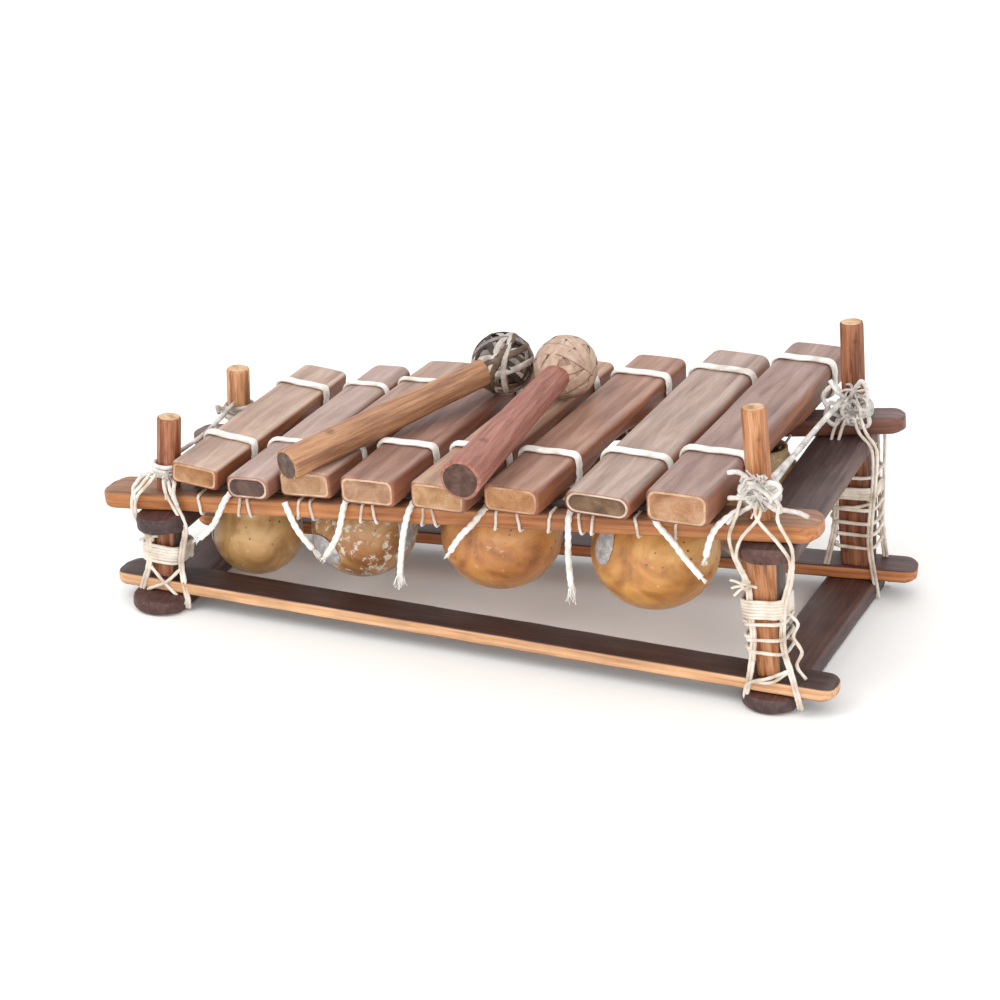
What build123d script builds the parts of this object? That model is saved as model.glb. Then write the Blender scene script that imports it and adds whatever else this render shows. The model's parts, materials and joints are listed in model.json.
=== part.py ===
from build123d import *
from math import atan2, cos, degrees, hypot, pi, radians, sin, sqrt, tan
import os

# A small eight-bar balafon (gourd xylophone). Millimetres, +Z up, +X from the
# short low-post end to the tall end, +Y away from the player. The origin is at
# the middle of the footprint, on the floor.

# ---- driving dimensions ----
deck_tilt = 6.1             # slope of the deck, rising towards +X, degrees
deck_level = 105.8          # top of the upper rails above the floor at X = 0
back_turn = 10.0            # plan angle between the front and the back rails, degrees

foot_thickness = 12.0
lower_rail_thickness = 9.0
lower_rail_width = 28.0
upper_rail_thickness = 12.0
front_rail_width = 32.0
back_rail_width = 24.0
cross_board_thickness = 13.0
foot_width = 37.0

to_origin = (4.18, 3.0)     # moves the whole instrument so that its origin is under its middle
front_y = -98.0             # centre line of the front posts and the lower front rail
upper_rail_y = -96.0        # centre line of the upper front rail, a little behind them
back_left_post = (-216.5, 15.0)
peg_radius = 8.2
tenon_radius = 6.5
hole_clearance = 0.25

bar_gap = 4.3               # lowest edge of a bar above the rail top; the padding stays clear of a struck bar
pad_thickness = 2.6
rest_gap = 0.15             # between a soft piece and what it lies on
cord_diameter = 4.2         # the thick white cord
twine_diameter = 2.0        # the thin lashing twine

gourd_wall = 2.6
membrane_thickness = 0.5

slope = tan(radians(deck_tilt))
foot_top = foot_thickness
lower_rail_top = foot_thickness + lower_rail_thickness
stack_depth = upper_rail_thickness + cross_board_thickness


def deck_height(x):
    return deck_level + slope * x


def deck_plane(x, y, above=0.0, turn=0.0, tilt=deck_tilt):
    # a plane on the rail tops: local X runs up the deck, local Z is its normal
    base = Location((x, y, deck_height(x)), (0, -tilt, 0))
    return Plane(base * Location((0, 0, above), (0, 0, turn)))


def back_y(x):
    return back_left_post[1] + (x - back_left_post[0]) * tan(radians(back_turn))


def keep(name, shape):
    shape.label = name
    parts[name] = shape
    return shape


def board(plane, start, end, width, thickness, end_radius, edge_radius):
    # a flat board whose top face lies in the plane, with rounded ends and eased edges
    outline = Rectangle(end - start, width)
    outline = fillet(outline.vertices(), end_radius)
    solid = extrude(outline, -thickness)
    solid = fillet(solid.edges().group_by(Axis.Z)[0] + solid.edges().group_by(Axis.Z)[-1], edge_radius)
    return plane.location * (Pos((start + end) / 2, 0, 0) * solid)


def rod(start, end, radius):
    line = Vector(*end) - Vector(*start)
    plane = Plane(origin=start, z_dir=line)
    return plane.location * Cylinder(radius, line.length, align=(Align.CENTER, Align.CENTER, Align.MIN))


def ring(plane, inner_x, inner_y, inner_radius, thickness, height):
    # a flat closed loop of cord round a rectangular section
    outer = RectangleRounded(inner_x + 2 * thickness, inner_y + 2 * thickness, inner_radius + thickness)
    inner = RectangleRounded(inner_x, inner_y, inner_radius)
    return plane.location * extrude(outer - inner, height / 2, both=True)


def route_radii(points):
    radii = []
    for before, here, after in zip(points, points[1:], points[2:]):
        first = Vector(*here) - Vector(*before)
        second = Vector(*after) - Vector(*here)
        half_turn = radians(first.get_angle(second)) / 2
        radii.append(0.45 * min(first.length, second.length) / tan(half_turn))
    return radii


def cord(points, diameter):
    radii = route_radii(points)
    path = FilletPolyline(*points, radius=radii)
    section = Plane(origin=path @ 0, z_dir=path % 0) * Circle(diameter / 2)
    solid = sweep(section, path=path)
    expected = path.length * pi * diameter ** 2 / 4
    print("  cord", round(path.length, 1), "mm, radii", [round(r, 1) for r in radii],
          "volume ratio", round(solid.volume / expected, 3))
    return solid


parts = {}


# ---- posts ----
# each post: foot of its axis on the lower rail, top of its peg, section at the bottom and the top
post_table = {
    "post_front_left": ((-218.5, front_y), (-213.5, front_y, 134.0), (21.0, 20.0), (23.0, 21.0)),
    "post_front_right": ((209.5, front_y), (191.5, front_y, 200.0), (18.0, 17.0), (25.0, 22.0)),
    "post_back_left": (back_left_post, (-216.5, 15.0, 127.5), (22.0, 20.0), (24.0, 21.0)),
    "post_back_right": ((211.5, 90.0), (200.0, 88.5, 193.0), (22.0, 20.0), (27.0, 24.0)),
}
tenon_end = 4.0


def post_axis(name):
    foot, top, _, _ = post_table[name]
    start = Vector(foot[0], foot[1], lower_rail_top)
    return start, (Vector(*top) - start).normalized(), Vector(*top)


def post_point(name, height):
    # where a post's axis is at a height above the floor
    start, direction, _ = post_axis(name)
    return start + direction * ((height - start.Z) / direction.Z)


def deck_crossing(name, above=0.0):
    # where a post's axis meets a plane parallel to the deck
    point = post_point(name, deck_level)
    for _ in range(20):
        point = post_point(name, deck_height(point.X) + above / cos(radians(deck_tilt)))
    return point


def post_plane(name, height):
    _, direction, _ = post_axis(name)
    side = Vector(1, 0, 0) - direction * direction.X
    return Plane(origin=post_point(name, height), x_dir=side, z_dir=direction)


def post_hole(name, low, high, radius):
    return rod(post_point(name, low), post_point(name, high), radius)


def make_post(name):
    _, top, low_size, high_size = post_table[name]
    shoulder = deck_crossing(name, -stack_depth)
    low_plane = post_plane(name, lower_rail_top - 3)
    high_plane = post_plane(name, shoulder.Z + 4)
    low = low_plane * RectangleRounded(low_size[0], low_size[1], 5)
    high = high_plane * RectangleRounded(high_size[0], high_size[1], 6)
    shaft = loft([low, high])
    below = Pos(0, 0, lower_rail_top) * Box(900, 900, 60, align=(Align.CENTER, Align.CENTER, Align.MAX))
    above = deck_plane(0, 0, -stack_depth).location * Box(900, 900, 80,
                                                          align=(Align.CENTER, Align.CENTER, Align.MIN))
    shaft = shaft - below - above
    peg = rod(post_point(name, shoulder.Z - 6), top, peg_radius)
    peg = fillet(peg.edges().group_by(Axis.Z)[-1], 1.2)
    tenon = rod(post_point(name, tenon_end), post_point(name, lower_rail_top + 5), tenon_radius)
    return keep(name, shaft + peg + tenon)


# ---- frame boards ----
def make_lower_frame():
    foot_specs = {
        "foot_board_left": (-217.5, -128.0, 34.0, ("post_front_left", "post_back_left")),
        "foot_board_right": (210.5, -119.0, 110.0, ("post_front_right", "post_back_right")),
    }
    for name, (x, front, back, posts) in foot_specs.items():
        plane = Plane(Location((x, 0, foot_top), (0, 0, 90)))
        solid = board(plane, front, back, foot_width, foot_thickness, 15, 3.0)
        for post in posts:
            solid -= post_hole(post, tenon_end - 1, foot_top + 4, tenon_radius + hole_clearance)
        keep(name, solid)
    rail_specs = {
        "lower_rail_front": ((0, front_y), 0, -252.0, 253.0, ("post_front_left", "post_front_right")),
        "lower_rail_back": (back_left_post, back_turn, -30.0, 475.0, ("post_back_left", "post_back_right")),
    }
    for name, (base, turn, start, end, posts) in rail_specs.items():
        plane = Plane(Location((base[0], base[1], lower_rail_top), (0, 0, turn)))
        solid = board(plane, start, end, lower_rail_width, lower_rail_thickness, 9, 1.5)
        for post in posts:
            solid -= post_hole(post, foot_top - 3, lower_rail_top + 3, tenon_radius + hole_clearance)
        keep(name, solid)


def make_upper_frame():
    board_specs = {
        "cross_board_left": (-216.0, -46.0, 0.0, 160.0, 36.0, ("post_front_left", "post_back_left")),
        "cross_board_right": (201.3, -5.0, 2.2, 230.0, 39.0, ("post_front_right", "post_back_right")),
    }
    for name, (x, y, turn, length, width, posts) in board_specs.items():
        plane = deck_plane(x, y, -upper_rail_thickness, 90 + turn)
        solid = board(plane, -length / 2, length / 2, width, cross_board_thickness, 14, 2.5)
        for post in posts:
            crossing = deck_crossing(post)
            solid -= post_hole(post, crossing.Z - 40, crossing.Z + 5, peg_radius + hole_clearance)
        keep(name, solid)
    rail_specs = {
        "upper_rail_front": ((0, upper_rail_y), 0, -263.0, 238.5, front_rail_width,
                             ("post_front_left", "post_front_right")),
        "upper_rail_back": (back_left_post, back_turn, -33.0, 464.0, back_rail_width,
                            ("post_back_left", "post_back_right")),
    }
    for name, (base, turn, start, end, width, posts) in rail_specs.items():
        plane = deck_plane(base[0], base[1], 0, turn)
        solid = board(plane, start, end, width, upper_rail_thickness, 10, 1.6)
        for post in posts:
            crossing = deck_crossing(post)
            solid -= post_hole(post, crossing.Z - 30, crossing.Z + 5, peg_radius + hole_clearance)
        keep(name, solid)


# ---- bars ----
# each bar: front X, back X, front Y, back Y, width, thickness, its own tilt, front and back cord places
bar_table = [
    (-189.0, -181.1, -114.0, 84.0, 34.5, 16.0, -3.0, -62.0, 46.0),
    (-144.0, -133.2, -124.5, 95.0, 31.1, 17.0, 5.2, -60.0, 53.0),
    (-106.8, -90.0, -115.5, 104.0, 37.9, 18.5, 6.1, -67.5, 60.0),
    (-58.0, -45.5, -125.5, 114.0, 39.0, 19.5, 4.0, -63.0, 68.5),
    (-6.8, 8.5, -131.0, 113.0, 38.5, 19.2, 2.5, -64.0, 77.0),
    (42.7, 56.7, -129.0, 125.6, 38.5, 19.0, 2.6, -67.0, 87.0),
    (100.5, 108.0, -128.5, 143.5, 44.5, 16.5, 1.0, -58.0, 104.0),
    (155.3, 163.0, -134.0, 148.0, 41.5, 23.0, 1.8, -64.0, 113.0),
]
bar_cord_thickness = 2.7    # the bar cord is soft, and lies flat on the bar
bar_cord_width = 5.0
tuning_depth = 4.4


def bar_plane(row):
    # at the middle of the underside: local X across the bar, Y along it, Z up through it
    front_x, back_x, front, back, width, _, tilt = row[:7]
    turn = -degrees(atan2(back_x - front_x, back - front))
    x, y = (front_x + back_x) / 2, (front + back) / 2
    lift = bar_gap + width / 2 * (slope - tan(radians(tilt)))
    base = Location((x, y, deck_height(x) + lift), (0, -tilt, 0))
    return Plane(base * Location((0, 0, 0), (0, 0, turn)))


def make_bar(number, row):
    front_x, back_x, front, back, width, thickness = row[:6]
    middle = (front + back) / 2
    length = hypot(back_x - front_x, back - front)
    outline = fillet(Rectangle(width, thickness).vertices(), 3.0)
    blank = extrude(Plane.XZ * outline, length / 2, both=True)
    blank = Pos(0, 0, thickness / 2) * blank
    ends = blank.edges().group_by(Axis.Y)
    blank = fillet(ends[0] + ends[-1], 1.2)
    # the shallow hollow that tunes the bar, across the middle of its underside
    hollow_half = 0.16 * length
    hollow_radius = (hollow_half ** 2 + tuning_depth ** 2) / (2 * tuning_depth)
    scoop = Pos(0, 0, tuning_depth - hollow_radius) * Rot(0, 90, 0) * Cylinder(hollow_radius, width + 4)
    blank -= scoop
    name = f"bar_{number}"
    place = bar_plane(row).location
    keep(name, place * blank)
    # a loop of thick cord round the bar near each node of its vibration
    loops = []
    for y in row[7:9]:
        along = (y - middle) * length / (back - front)
        across = Plane(place * Location((0, along, thickness / 2), (90, 0, 0)))
        loops.append(ring(across, width + 0.3, thickness + 0.3, 3.6, bar_cord_thickness, bar_cord_width))
    keep(f"bar_{number}_cords", Compound(children=loops))


# ---- gourds ----
# each gourd: centre X, Y, Z of its belly, belly radius, belly half height, neck radius, neck top
gourd_table = [
    ("gourd_front_1", -170.5, -56.0, 41.5, 31.0, 30.0, 16.0, 83.0, 200.0),
    ("gourd_front_2", -93.1, -52.0, 55.5, 36.5, 34.0, 18.0, 91.5, 150.0),
    ("gourd_front_3", 5.5, -50.0, 66.6, 41.0, 38.0, 22.0, 101.0, 250.0),
    ("gourd_front_4", 113.5, -50.0, 72.0, 43.0, 40.0, 24.0, 112.5, 228.0),
    ("gourd_back_1", -136.5, -4.0, 62.0, 24.0, 23.5, 11.0, 89.0, 90.0),
    ("gourd_back_2", -59.5, 0.0, 72.0, 26.0, 25.0, 13.0, 95.0, 270.0),
    ("gourd_back_3", 34.5, 17.0, 78.0, 29.0, 28.0, 15.0, 104.5, 60.0),
    ("gourd_back_4", 159.0, 38.0, 69.5, 38.0, 36.0, 15.0, 117.5, 300.0),
]
shoulder_angle = 40.0
buzz_hole_radius = 5.5
membrane_radius = 10.0
tie_spread = 0.5            # of the neck's radius, each side of its axis
tie_depth = 4.0             # below the mouth


def belly_curve(row, grow):
    # half of the belly's outline, from its lowest point up to the shoulder
    _, _, _, centre_z, radius, half_height, _, _, _ = row
    a, b = radius + grow, half_height + grow
    angles = [radians(-90 + (90 + shoulder_angle) * step / 5) for step in range(6)]
    points = [(a * cos(t), centre_z + b * sin(t)) for t in angles]
    return Spline(*points, tangents=[(1, 0), (-a * sin(angles[-1]), b * cos(angles[-1]))])


def gourd_layer(row, outer, inner):
    # a layer of the gourd's wall, between two offsets from its outer surface
    _, _, _, _, _, _, neck, top, _ = row
    outer_curve, inner_curve = belly_curve(row, outer), belly_curve(row, inner)
    knee = ((outer_curve @ 1).Y + top) / 2 + 3
    rim = Polyline(outer_curve @ 1, (neck + outer, knee), (neck + outer, top),
                   (neck + inner, top), (neck + inner, knee), inner_curve @ 1)
    axis_line = Line(inner_curve @ 0, outer_curve @ 0)
    return revolve(Plane.XZ * make_face([outer_curve, *rim.edges(), inner_curve, axis_line]), axis=Axis.Z)


def make_gourd(row):
    name, x, y, centre_z, radius, half_height, neck, top, buzz_angle = row
    shell = gourd_layer(row, 0, -gourd_wall)
    # two thin holes through the neck, where the tie passes
    for side in (-1, 1):
        shell -= Pos(side * neck * tie_spread, 0, top - tie_depth) * Rot(90, 0, 0) * Cylinder(1.4, 4 * neck)
    # the buzz hole, on the belly, and the thin membrane that covers it
    direction = Location((0, 0, centre_z), (0, 0, buzz_angle)) * Rot(0, 90, 0)
    reach = radius + 10
    shell -= direction * Cylinder(buzz_hole_radius, reach, align=(Align.CENTER, Align.CENTER, Align.MIN))
    skin = gourd_layer(row, rest_gap + membrane_thickness, rest_gap)
    skin &= direction * Cylinder(membrane_radius, reach, align=(Align.CENTER, Align.CENTER, Align.MIN))
    keep(name, Pos(x, y, 0) * shell)
    return Pos(x, y, 0) * skin


def make_gourd_ties(row):
    # two short strings from the neck to the rail beside it
    name, x, y, _, _, _, neck, top, _ = row
    z = top - tie_depth
    ties = []
    for side in (-1, 1):
        offset = side * neck * tie_spread
        reach = sqrt(neck ** 2 - offset ** 2) - gourd_wall - 3
        if "front" in name:
            end_y = upper_rail_y + front_rail_width / 2 + 0.3
            ties.append(rod((x + offset, y - reach, z), (x + offset, end_y, z), twine_diameter / 2))
        else:
            end_y = back_y(x + offset) - back_rail_width / 2 / cos(radians(back_turn)) - 0.4
            ties.append(rod((x + offset, y + reach, z), (x + offset, end_y, z), twine_diameter / 2))
    return ties


# ---- soft pieces on the rails ----
ring_places = [-187.5, -158.0, -151.0, -115.0, -105.5, -69.5, -60.5, -26.0, -18.0, 25.0, 41.0, 62.0, 83.0,
               91.0, 121.5, 148.0]
rail_specs = {
    "front": ((0, upper_rail_y), 0, front_rail_width, -196.0, 172.0, ring_places),
    "back": (back_left_post, back_turn, back_rail_width, 14.0, 398.0,
             [x - back_left_post[0] - 2 for x in ring_places[1:]]),
}


def rail_loops(base, turn, width, places, extra):
    loops = []
    for place in places:
        plane = deck_plane(base[0], base[1], -upper_rail_thickness / 2, turn)
        across = Plane(plane.location * Location((place, 0, 0), (0, 90, 0)))
        loops.append(ring(across, upper_rail_thickness + 2 * rest_gap, width + 2 * rest_gap, 1.5,
                          twine_diameter - 0.4 + extra, twine_diameter + 2 * extra))
    return loops


def make_pads_and_strings():
    # a padding strip lies on each upper rail, under the bars, over the loops of twine round the rail
    section = Plane.YZ * fillet(Rectangle(11, pad_thickness).vertices(), 1.2)
    for side, (base, turn, width, start, end, places) in rail_specs.items():
        strip = Pos((start + end) / 2, 0, 0) * extrude(section, (end - start) / 2, both=True)
        strip = deck_plane(base[0], base[1], rest_gap + pad_thickness / 2, turn).location * strip
        for loop in rail_loops(base, turn, width, places, rest_gap):
            strip -= loop
        keep(f"pad_{side}", strip)
        keep(f"rail_strings_{side}", Compound(children=rail_loops(base, turn, width, places, 0)))


# ---- lashings ----
# each lashing: the post, heights of its single turns, the band's height and width, thickness of the peg's wrap
lashing_table = {
    "lashing_front_left": ("post_front_left", (), 45.0, 12.0, 1.2),
    "lashing_front_right": ("post_front_right", (67.5, 56.0, 45.0), 79.0, 12.0, 4.0),
    "lashing_back_left": ("post_back_left", (30.0,), 45.0, 12.0, 2.0),
    "lashing_back_right": ("post_back_right", (92.0, 66.0, 58.0, 50.0, 42.0), 81.0, 9.0, 4.0),
}


def post_size(name, height):
    # the post's section at a height
    _, _, low, high = post_table[name]
    shoulder = deck_crossing(name, -stack_depth)
    share = (height - (lower_rail_top - 3)) / (shoulder.Z + 4 - (lower_rail_top - 3))
    return [a + (b - a) * share for a, b in zip(low, high)]


def make_lashing(name):
    post, turns, band_height, band_width, wrap_thickness = lashing_table[name]
    solids = []
    for height, width in [(h, twine_diameter) for h in turns] + [(band_height, band_width)]:
        size = post_size(post, height + width)
        solids.append(ring(post_plane(post, height), size[0] + 1.0, size[1] + 1.0, 5.5, twine_diameter, width))
    # a doubled strand each side of the post, from the cross board down to the foot board
    shoulder = deck_crossing(post, -stack_depth)
    gap = max(size[0] for size in post_table[post][2:]) / 2 + twine_diameter + 3.2
    front = post_point(post, 40).Y - max(size[1] for size in post_table[post][2:]) / 2 - twine_diameter - 2.4
    for side in (-1, 1):
        low = post_point(post, lower_rail_top + 1.5)
        solids.append(rod((low.X + side * gap, front, lower_rail_top + 1.5),
                          (shoulder.X + side * gap, front, shoulder.Z - 6), twine_diameter))
    # the wrapping round the foot of the peg
    crossing = deck_crossing(post, 7.0)
    wrap = Circle(peg_radius + wrap_thickness) - Circle(peg_radius + rest_gap)
    peg_plane = post_plane(post, crossing.Z)
    solids.append(peg_plane.location * extrude(wrap, 4.5, both=True))
    keep(name, Compound(children=solids))


# ---- side cords between the pegs ----
side_cord_routes = {
    "side_cord_right": [(194.6, -82.5, 133.5), (192.5, -34.0, 129.5), (191.5, 26.0, 133.0), (197.5, 74.5, 138.0)],
    "side_cord_left": [(-214.3, -85.5, 103.0), (-212.2, -56.0, 102.0), (-212.4, -26.0, 102.6), (-215.2, 2.5, 104.5)],
}

# ---- loose ends of the bar cord that hang over the front rail ----
tail_routes = {
    "cord_tail_1": [(-163.5, -107.0, 92.0), (-165.0, -115.4, 89.8), (-168.5, -118.0, 80.0), (-173.5, -119.5, 68.0),
                    (-182.0, -121.0, 60.5)],
    "cord_tail_2": [(-122.2, -115.4, 93.4), (-116.5, -117.6, 83.0), (-109.5, -119.0, 73.0), (-100.0, -120.5, 65.5)],
    "cord_tail_3": [(-80.0, -107.5, 100.6), (-79.5, -115.3, 98.6), (-80.8, -117.4, 88.0), (-83.5, -118.6, 74.0),
                    (-91.0, -120.5, 62.0)],
    "cord_tail_4": [(-32.5, -107.5, 105.6), (-33.0, -115.4, 103.6), (-35.5, -117.4, 93.0), (-37.8, -118.4, 76.0),
                    (-38.4, -120.0, 58.0)],
    "cord_tail_5": [(19.5, -107.5, 111.2), (17.5, -115.4, 109.0), (12.0, -117.8, 100.0), (3.0, -119.2, 90.5),
                    (-2.5, -120.8, 80.0)],
    "cord_tail_6": [(76.0, -107.5, 117.2), (76.2, -115.4, 115.0), (77.2, -117.4, 102.0), (77.6, -118.6, 86.0),
                    (80.4, -120.0, 69.0)],
    "cord_tail_7": [(130.8, -107.5, 123.0), (133.5, -115.5, 120.8), (147.0, -117.8, 110.5), (156.5, -119.2, 99.5),
                    (168.0, -120.8, 89.5)],
    "cord_tail_8": [(188.5, -111.5, 135.4), (183.5, -116.6, 132.4), (176.0, -118.6, 125.0), (171.8, -119.8, 115.0),
                    (170.4, -120.4, 104.5)],
}


def make_side_cords():
    for name, route in side_cord_routes.items():
        keep(name, cord(route, cord_diameter))


def make_tails():
    for name, route in tail_routes.items():
        keep(name, cord(route, cord_diameter))


# ---- mallets ----
# each mallet: butt centre, head centre, butt radius, neck radius, head radius, how far the handle passes
mallet_table = {
    "mallet_left": ((-118.7, -122.0, 124.7), (-29.7, 41.4, 148.2), 9.0, 9.5, 22.0, 6.0),
    "mallet_right": ((18.5, -154.0, 140.9), (17.5, 35.9, 153.7), 9.5, 8.6, 22.0, 17.0),
}


def make_mallet(name):
    butt, head, butt_radius, neck_radius, head_radius, past = mallet_table[name]
    start, centre = Vector(*butt), Vector(*head)
    direction = (centre - start).normalized()
    length = (centre - start).length + past
    plane = Plane(origin=start, z_dir=direction)
    handle = Cone(butt_radius, neck_radius, length, align=(Align.CENTER, Align.CENTER, Align.MIN))
    handle = fillet(handle.edges(), 1.4)
    handle = plane.location * handle
    ball = Pos(0, 0, (centre - start).length) * Sphere(head_radius)
    bore = Cone(butt_radius, neck_radius, length, align=(Align.CENTER, Align.CENTER, Align.MIN))
    keep(f"{name}_handle", handle)
    keep(f"{name}_head", plane.location * (ball - bore))


# ---- build ----
for post_name in post_table:
    make_post(post_name)
make_lower_frame()
make_upper_frame()
for bar_number, bar_row in enumerate(bar_table, 1):
    make_bar(bar_number, bar_row)
membranes = [make_gourd(gourd_row) for gourd_row in gourd_table]
keep("gourd_membranes", Compound(children=membranes))
keep("gourd_ties", Compound(children=[tie for gourd_row in gourd_table for tie in make_gourd_ties(gourd_row)]))
make_pads_and_strings()
for lashing_name in lashing_table:
    make_lashing(lashing_name)
make_side_cords()
make_tails()
for mallet_name in mallet_table:
    make_mallet(mallet_name)

# the tables above are measured from the middle of the front rail, and the part's origin is under the
# middle of its bounding box
for name in parts:
    keep(name, Pos(*to_origin, 0) * parts[name])

boxes = [part.bounding_box() for name, part in parts.items() if not name.startswith("cord_tail")]
low = [min(tuple(box.min)[axis] for box in boxes) for axis in range(3)]
high = [max(tuple(box.max)[axis] for box in boxes) for axis in range(3)]
print("box", [round(v, 2) for v in low], [round(v, 2) for v in high], "parts", len(parts))

os.makedirs("parts", exist_ok=True)
for name, part in parts.items():
    export_step(part, f"parts/{name}.step")
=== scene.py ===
import json
import math
import random

import bpy
import numpy as np
from mathutils import Matrix, Vector, noise


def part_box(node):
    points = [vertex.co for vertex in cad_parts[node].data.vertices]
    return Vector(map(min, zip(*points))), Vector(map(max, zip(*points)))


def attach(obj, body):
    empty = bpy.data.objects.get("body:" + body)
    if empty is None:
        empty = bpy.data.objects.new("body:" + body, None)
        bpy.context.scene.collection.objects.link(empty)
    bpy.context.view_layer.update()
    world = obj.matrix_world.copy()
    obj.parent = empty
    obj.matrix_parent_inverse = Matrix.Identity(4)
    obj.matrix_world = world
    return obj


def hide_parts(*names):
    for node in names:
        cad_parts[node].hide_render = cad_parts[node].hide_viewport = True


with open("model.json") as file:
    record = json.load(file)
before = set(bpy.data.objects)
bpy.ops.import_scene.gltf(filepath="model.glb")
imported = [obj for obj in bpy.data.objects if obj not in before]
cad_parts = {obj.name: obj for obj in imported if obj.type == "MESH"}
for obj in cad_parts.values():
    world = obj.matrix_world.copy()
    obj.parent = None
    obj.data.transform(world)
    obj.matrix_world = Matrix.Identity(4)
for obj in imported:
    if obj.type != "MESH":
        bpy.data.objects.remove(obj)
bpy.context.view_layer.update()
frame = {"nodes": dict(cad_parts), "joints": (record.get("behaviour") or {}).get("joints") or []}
print("frame loaded,", len(frame["nodes"]), "nodes")

mm = 0.001
upAxis = Vector((0, 0, 1))


def bounceAxis(node):
    return next(joint["axis"] for joint in frame["joints"] if joint["child"] == node)


def nodePoints(node):
    return np.array([v.co[:] for v in frame["nodes"][node].data.vertices])


deckUp = Vector(bounceAxis("bar_3")).normalized()
deckAlong = Vector((deckUp.z, 0, -deckUp.x))
backTurn = math.radians(10)
# routes below are measured from the middle of the front rail; the frame's origin is under the instrument's middle
toOrigin = Vector((4.18, 3.0, 0))


# ---- camera ----
def makeCamera():
    settings = {"place": (804.9, -2083.0, 1025.2), "turn": 21.5, "drop": 23.2, "lens": 129.6}
    turn, drop = math.radians(settings["turn"]), math.radians(settings["drop"])
    back = Vector((math.sin(turn) * math.cos(drop), -math.cos(turn) * math.cos(drop), math.sin(drop)))
    cameraData = bpy.data.cameras.new("camera")
    cameraData.lens = settings["lens"]
    cameraData.sensor_width = 36
    cameraData.clip_end = 20
    cameraObject = bpy.data.objects.new("camera", cameraData)
    cameraObject.location = (Vector(settings["place"]) + toOrigin) * mm
    cameraObject.rotation_euler = back.to_track_quat("Z", "Y").to_euler()
    bpy.context.scene.collection.objects.link(cameraObject)
    bpy.context.scene.camera = cameraObject


makeCamera()


# ---- colours and nodes ----
def linearColour(hexColour, alpha=1.0):
    channels = [int(hexColour[i:i + 2], 16) / 255 for i in (1, 3, 5)]
    return tuple(c / 12.92 if c <= 0.04045 else ((c + 0.055) / 1.055) ** 2.4 for c in channels) + (alpha,)


def addNode(tree, kind, links=None, **settings):
    # links: input name or number -> a socket, or a plain value
    node = tree.nodes.new(kind)
    for key, value in settings.items():
        setattr(node, key, value)
    for key, value in (links or {}).items():
        if isinstance(value, bpy.types.NodeSocket):
            tree.links.new(value, node.inputs[key])
        else:
            node.inputs[key].default_value = value
    return node


def startMaterial(name, roughness=0.5, **sockets):
    material = bpy.data.materials.new(name)
    material.use_nodes = True
    tree = material.node_tree
    shader = tree.nodes["Principled BSDF"]
    shader.inputs["Roughness"].default_value = roughness
    for key, value in sockets.items():
        shader.inputs[key].default_value = value
    return material, tree, shader


def rampOf(tree, factor, positions, shades):
    # shades are colours, or grey levels as plain numbers
    ramp = addNode(tree, "ShaderNodeValToRGB", {"Fac": factor})
    elements = ramp.color_ramp.elements
    while len(elements) < len(shades):
        elements.new(0.5)
    for element, position, shade in zip(elements, positions, shades):
        element.position = position
        element.color = linearColour(shade) if isinstance(shade, str) else (shade,) * 3 + (1,)
    return ramp.outputs["Color"]


def mixColour(tree, factor, under, over, blend="MIX"):
    mix = addNode(tree, "ShaderNodeMix", {0: factor, 6: under, 7: over}, data_type="RGBA", blend_type=blend)
    return mix.outputs[2]


def shadeBy(tree, colour, factor, positions, shades, amount):
    return mixColour(tree, amount, colour, rampOf(tree, factor, positions, shades), "MULTIPLY")


def noiseOf(tree, vector, scale=1.0, detail=2.0, roughness=0.5, distortion=0.0):
    texture = addNode(tree, "ShaderNodeTexNoise", {"Vector": vector, "Scale": scale, "Detail": detail,
                                                   "Roughness": roughness, "Distortion": distortion})
    return texture.outputs["Fac"]


def rangeOf(tree, value, low, high, newLow=0.0, newHigh=1.0):
    mapped = addNode(tree, "ShaderNodeMapRange", {"Value": value, "From Min": low, "From Max": high,
                                                  "To Min": newLow, "To Max": newHigh})
    return mapped.outputs["Result"]


def mathOf(tree, operation, first, second=0.0):
    return addNode(tree, "ShaderNodeMath", {0: first, 1: second}, operation=operation).outputs["Value"]


def splitOf(tree, vector):
    return addNode(tree, "ShaderNodeSeparateXYZ", {"Vector": vector}).outputs


def paint(tree, shader, colour):
    tree.links.new(colour, shader.inputs["Base Color"])


def roughen(tree, shader, factor, low, high):
    tree.links.new(rangeOf(tree, factor, 0.0, 1.0, low, high), shader.inputs["Roughness"])


def bumpOnto(tree, shader, height, strength, distance):
    bump = addNode(tree, "ShaderNodeBump", {"Height": height, "Strength": strength, "Distance": distance})
    tree.links.new(bump.outputs["Normal"], shader.inputs["Normal"])


def objectPlace(tree):
    place = addNode(tree, "ShaderNodeTexCoord")
    return place.outputs["Object"], place.outputs["Normal"]


def grainOf(tree, spot, across, along, alongAxis):
    # object coordinates stretched so that one unit is a grain width across and a streak length along
    scale = [1000 / across] * 3
    scale[alongAxis] = 1000 / along
    return addNode(tree, "ShaderNodeMapping", {"Vector": spot, "Scale": scale}).outputs["Vector"]


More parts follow.
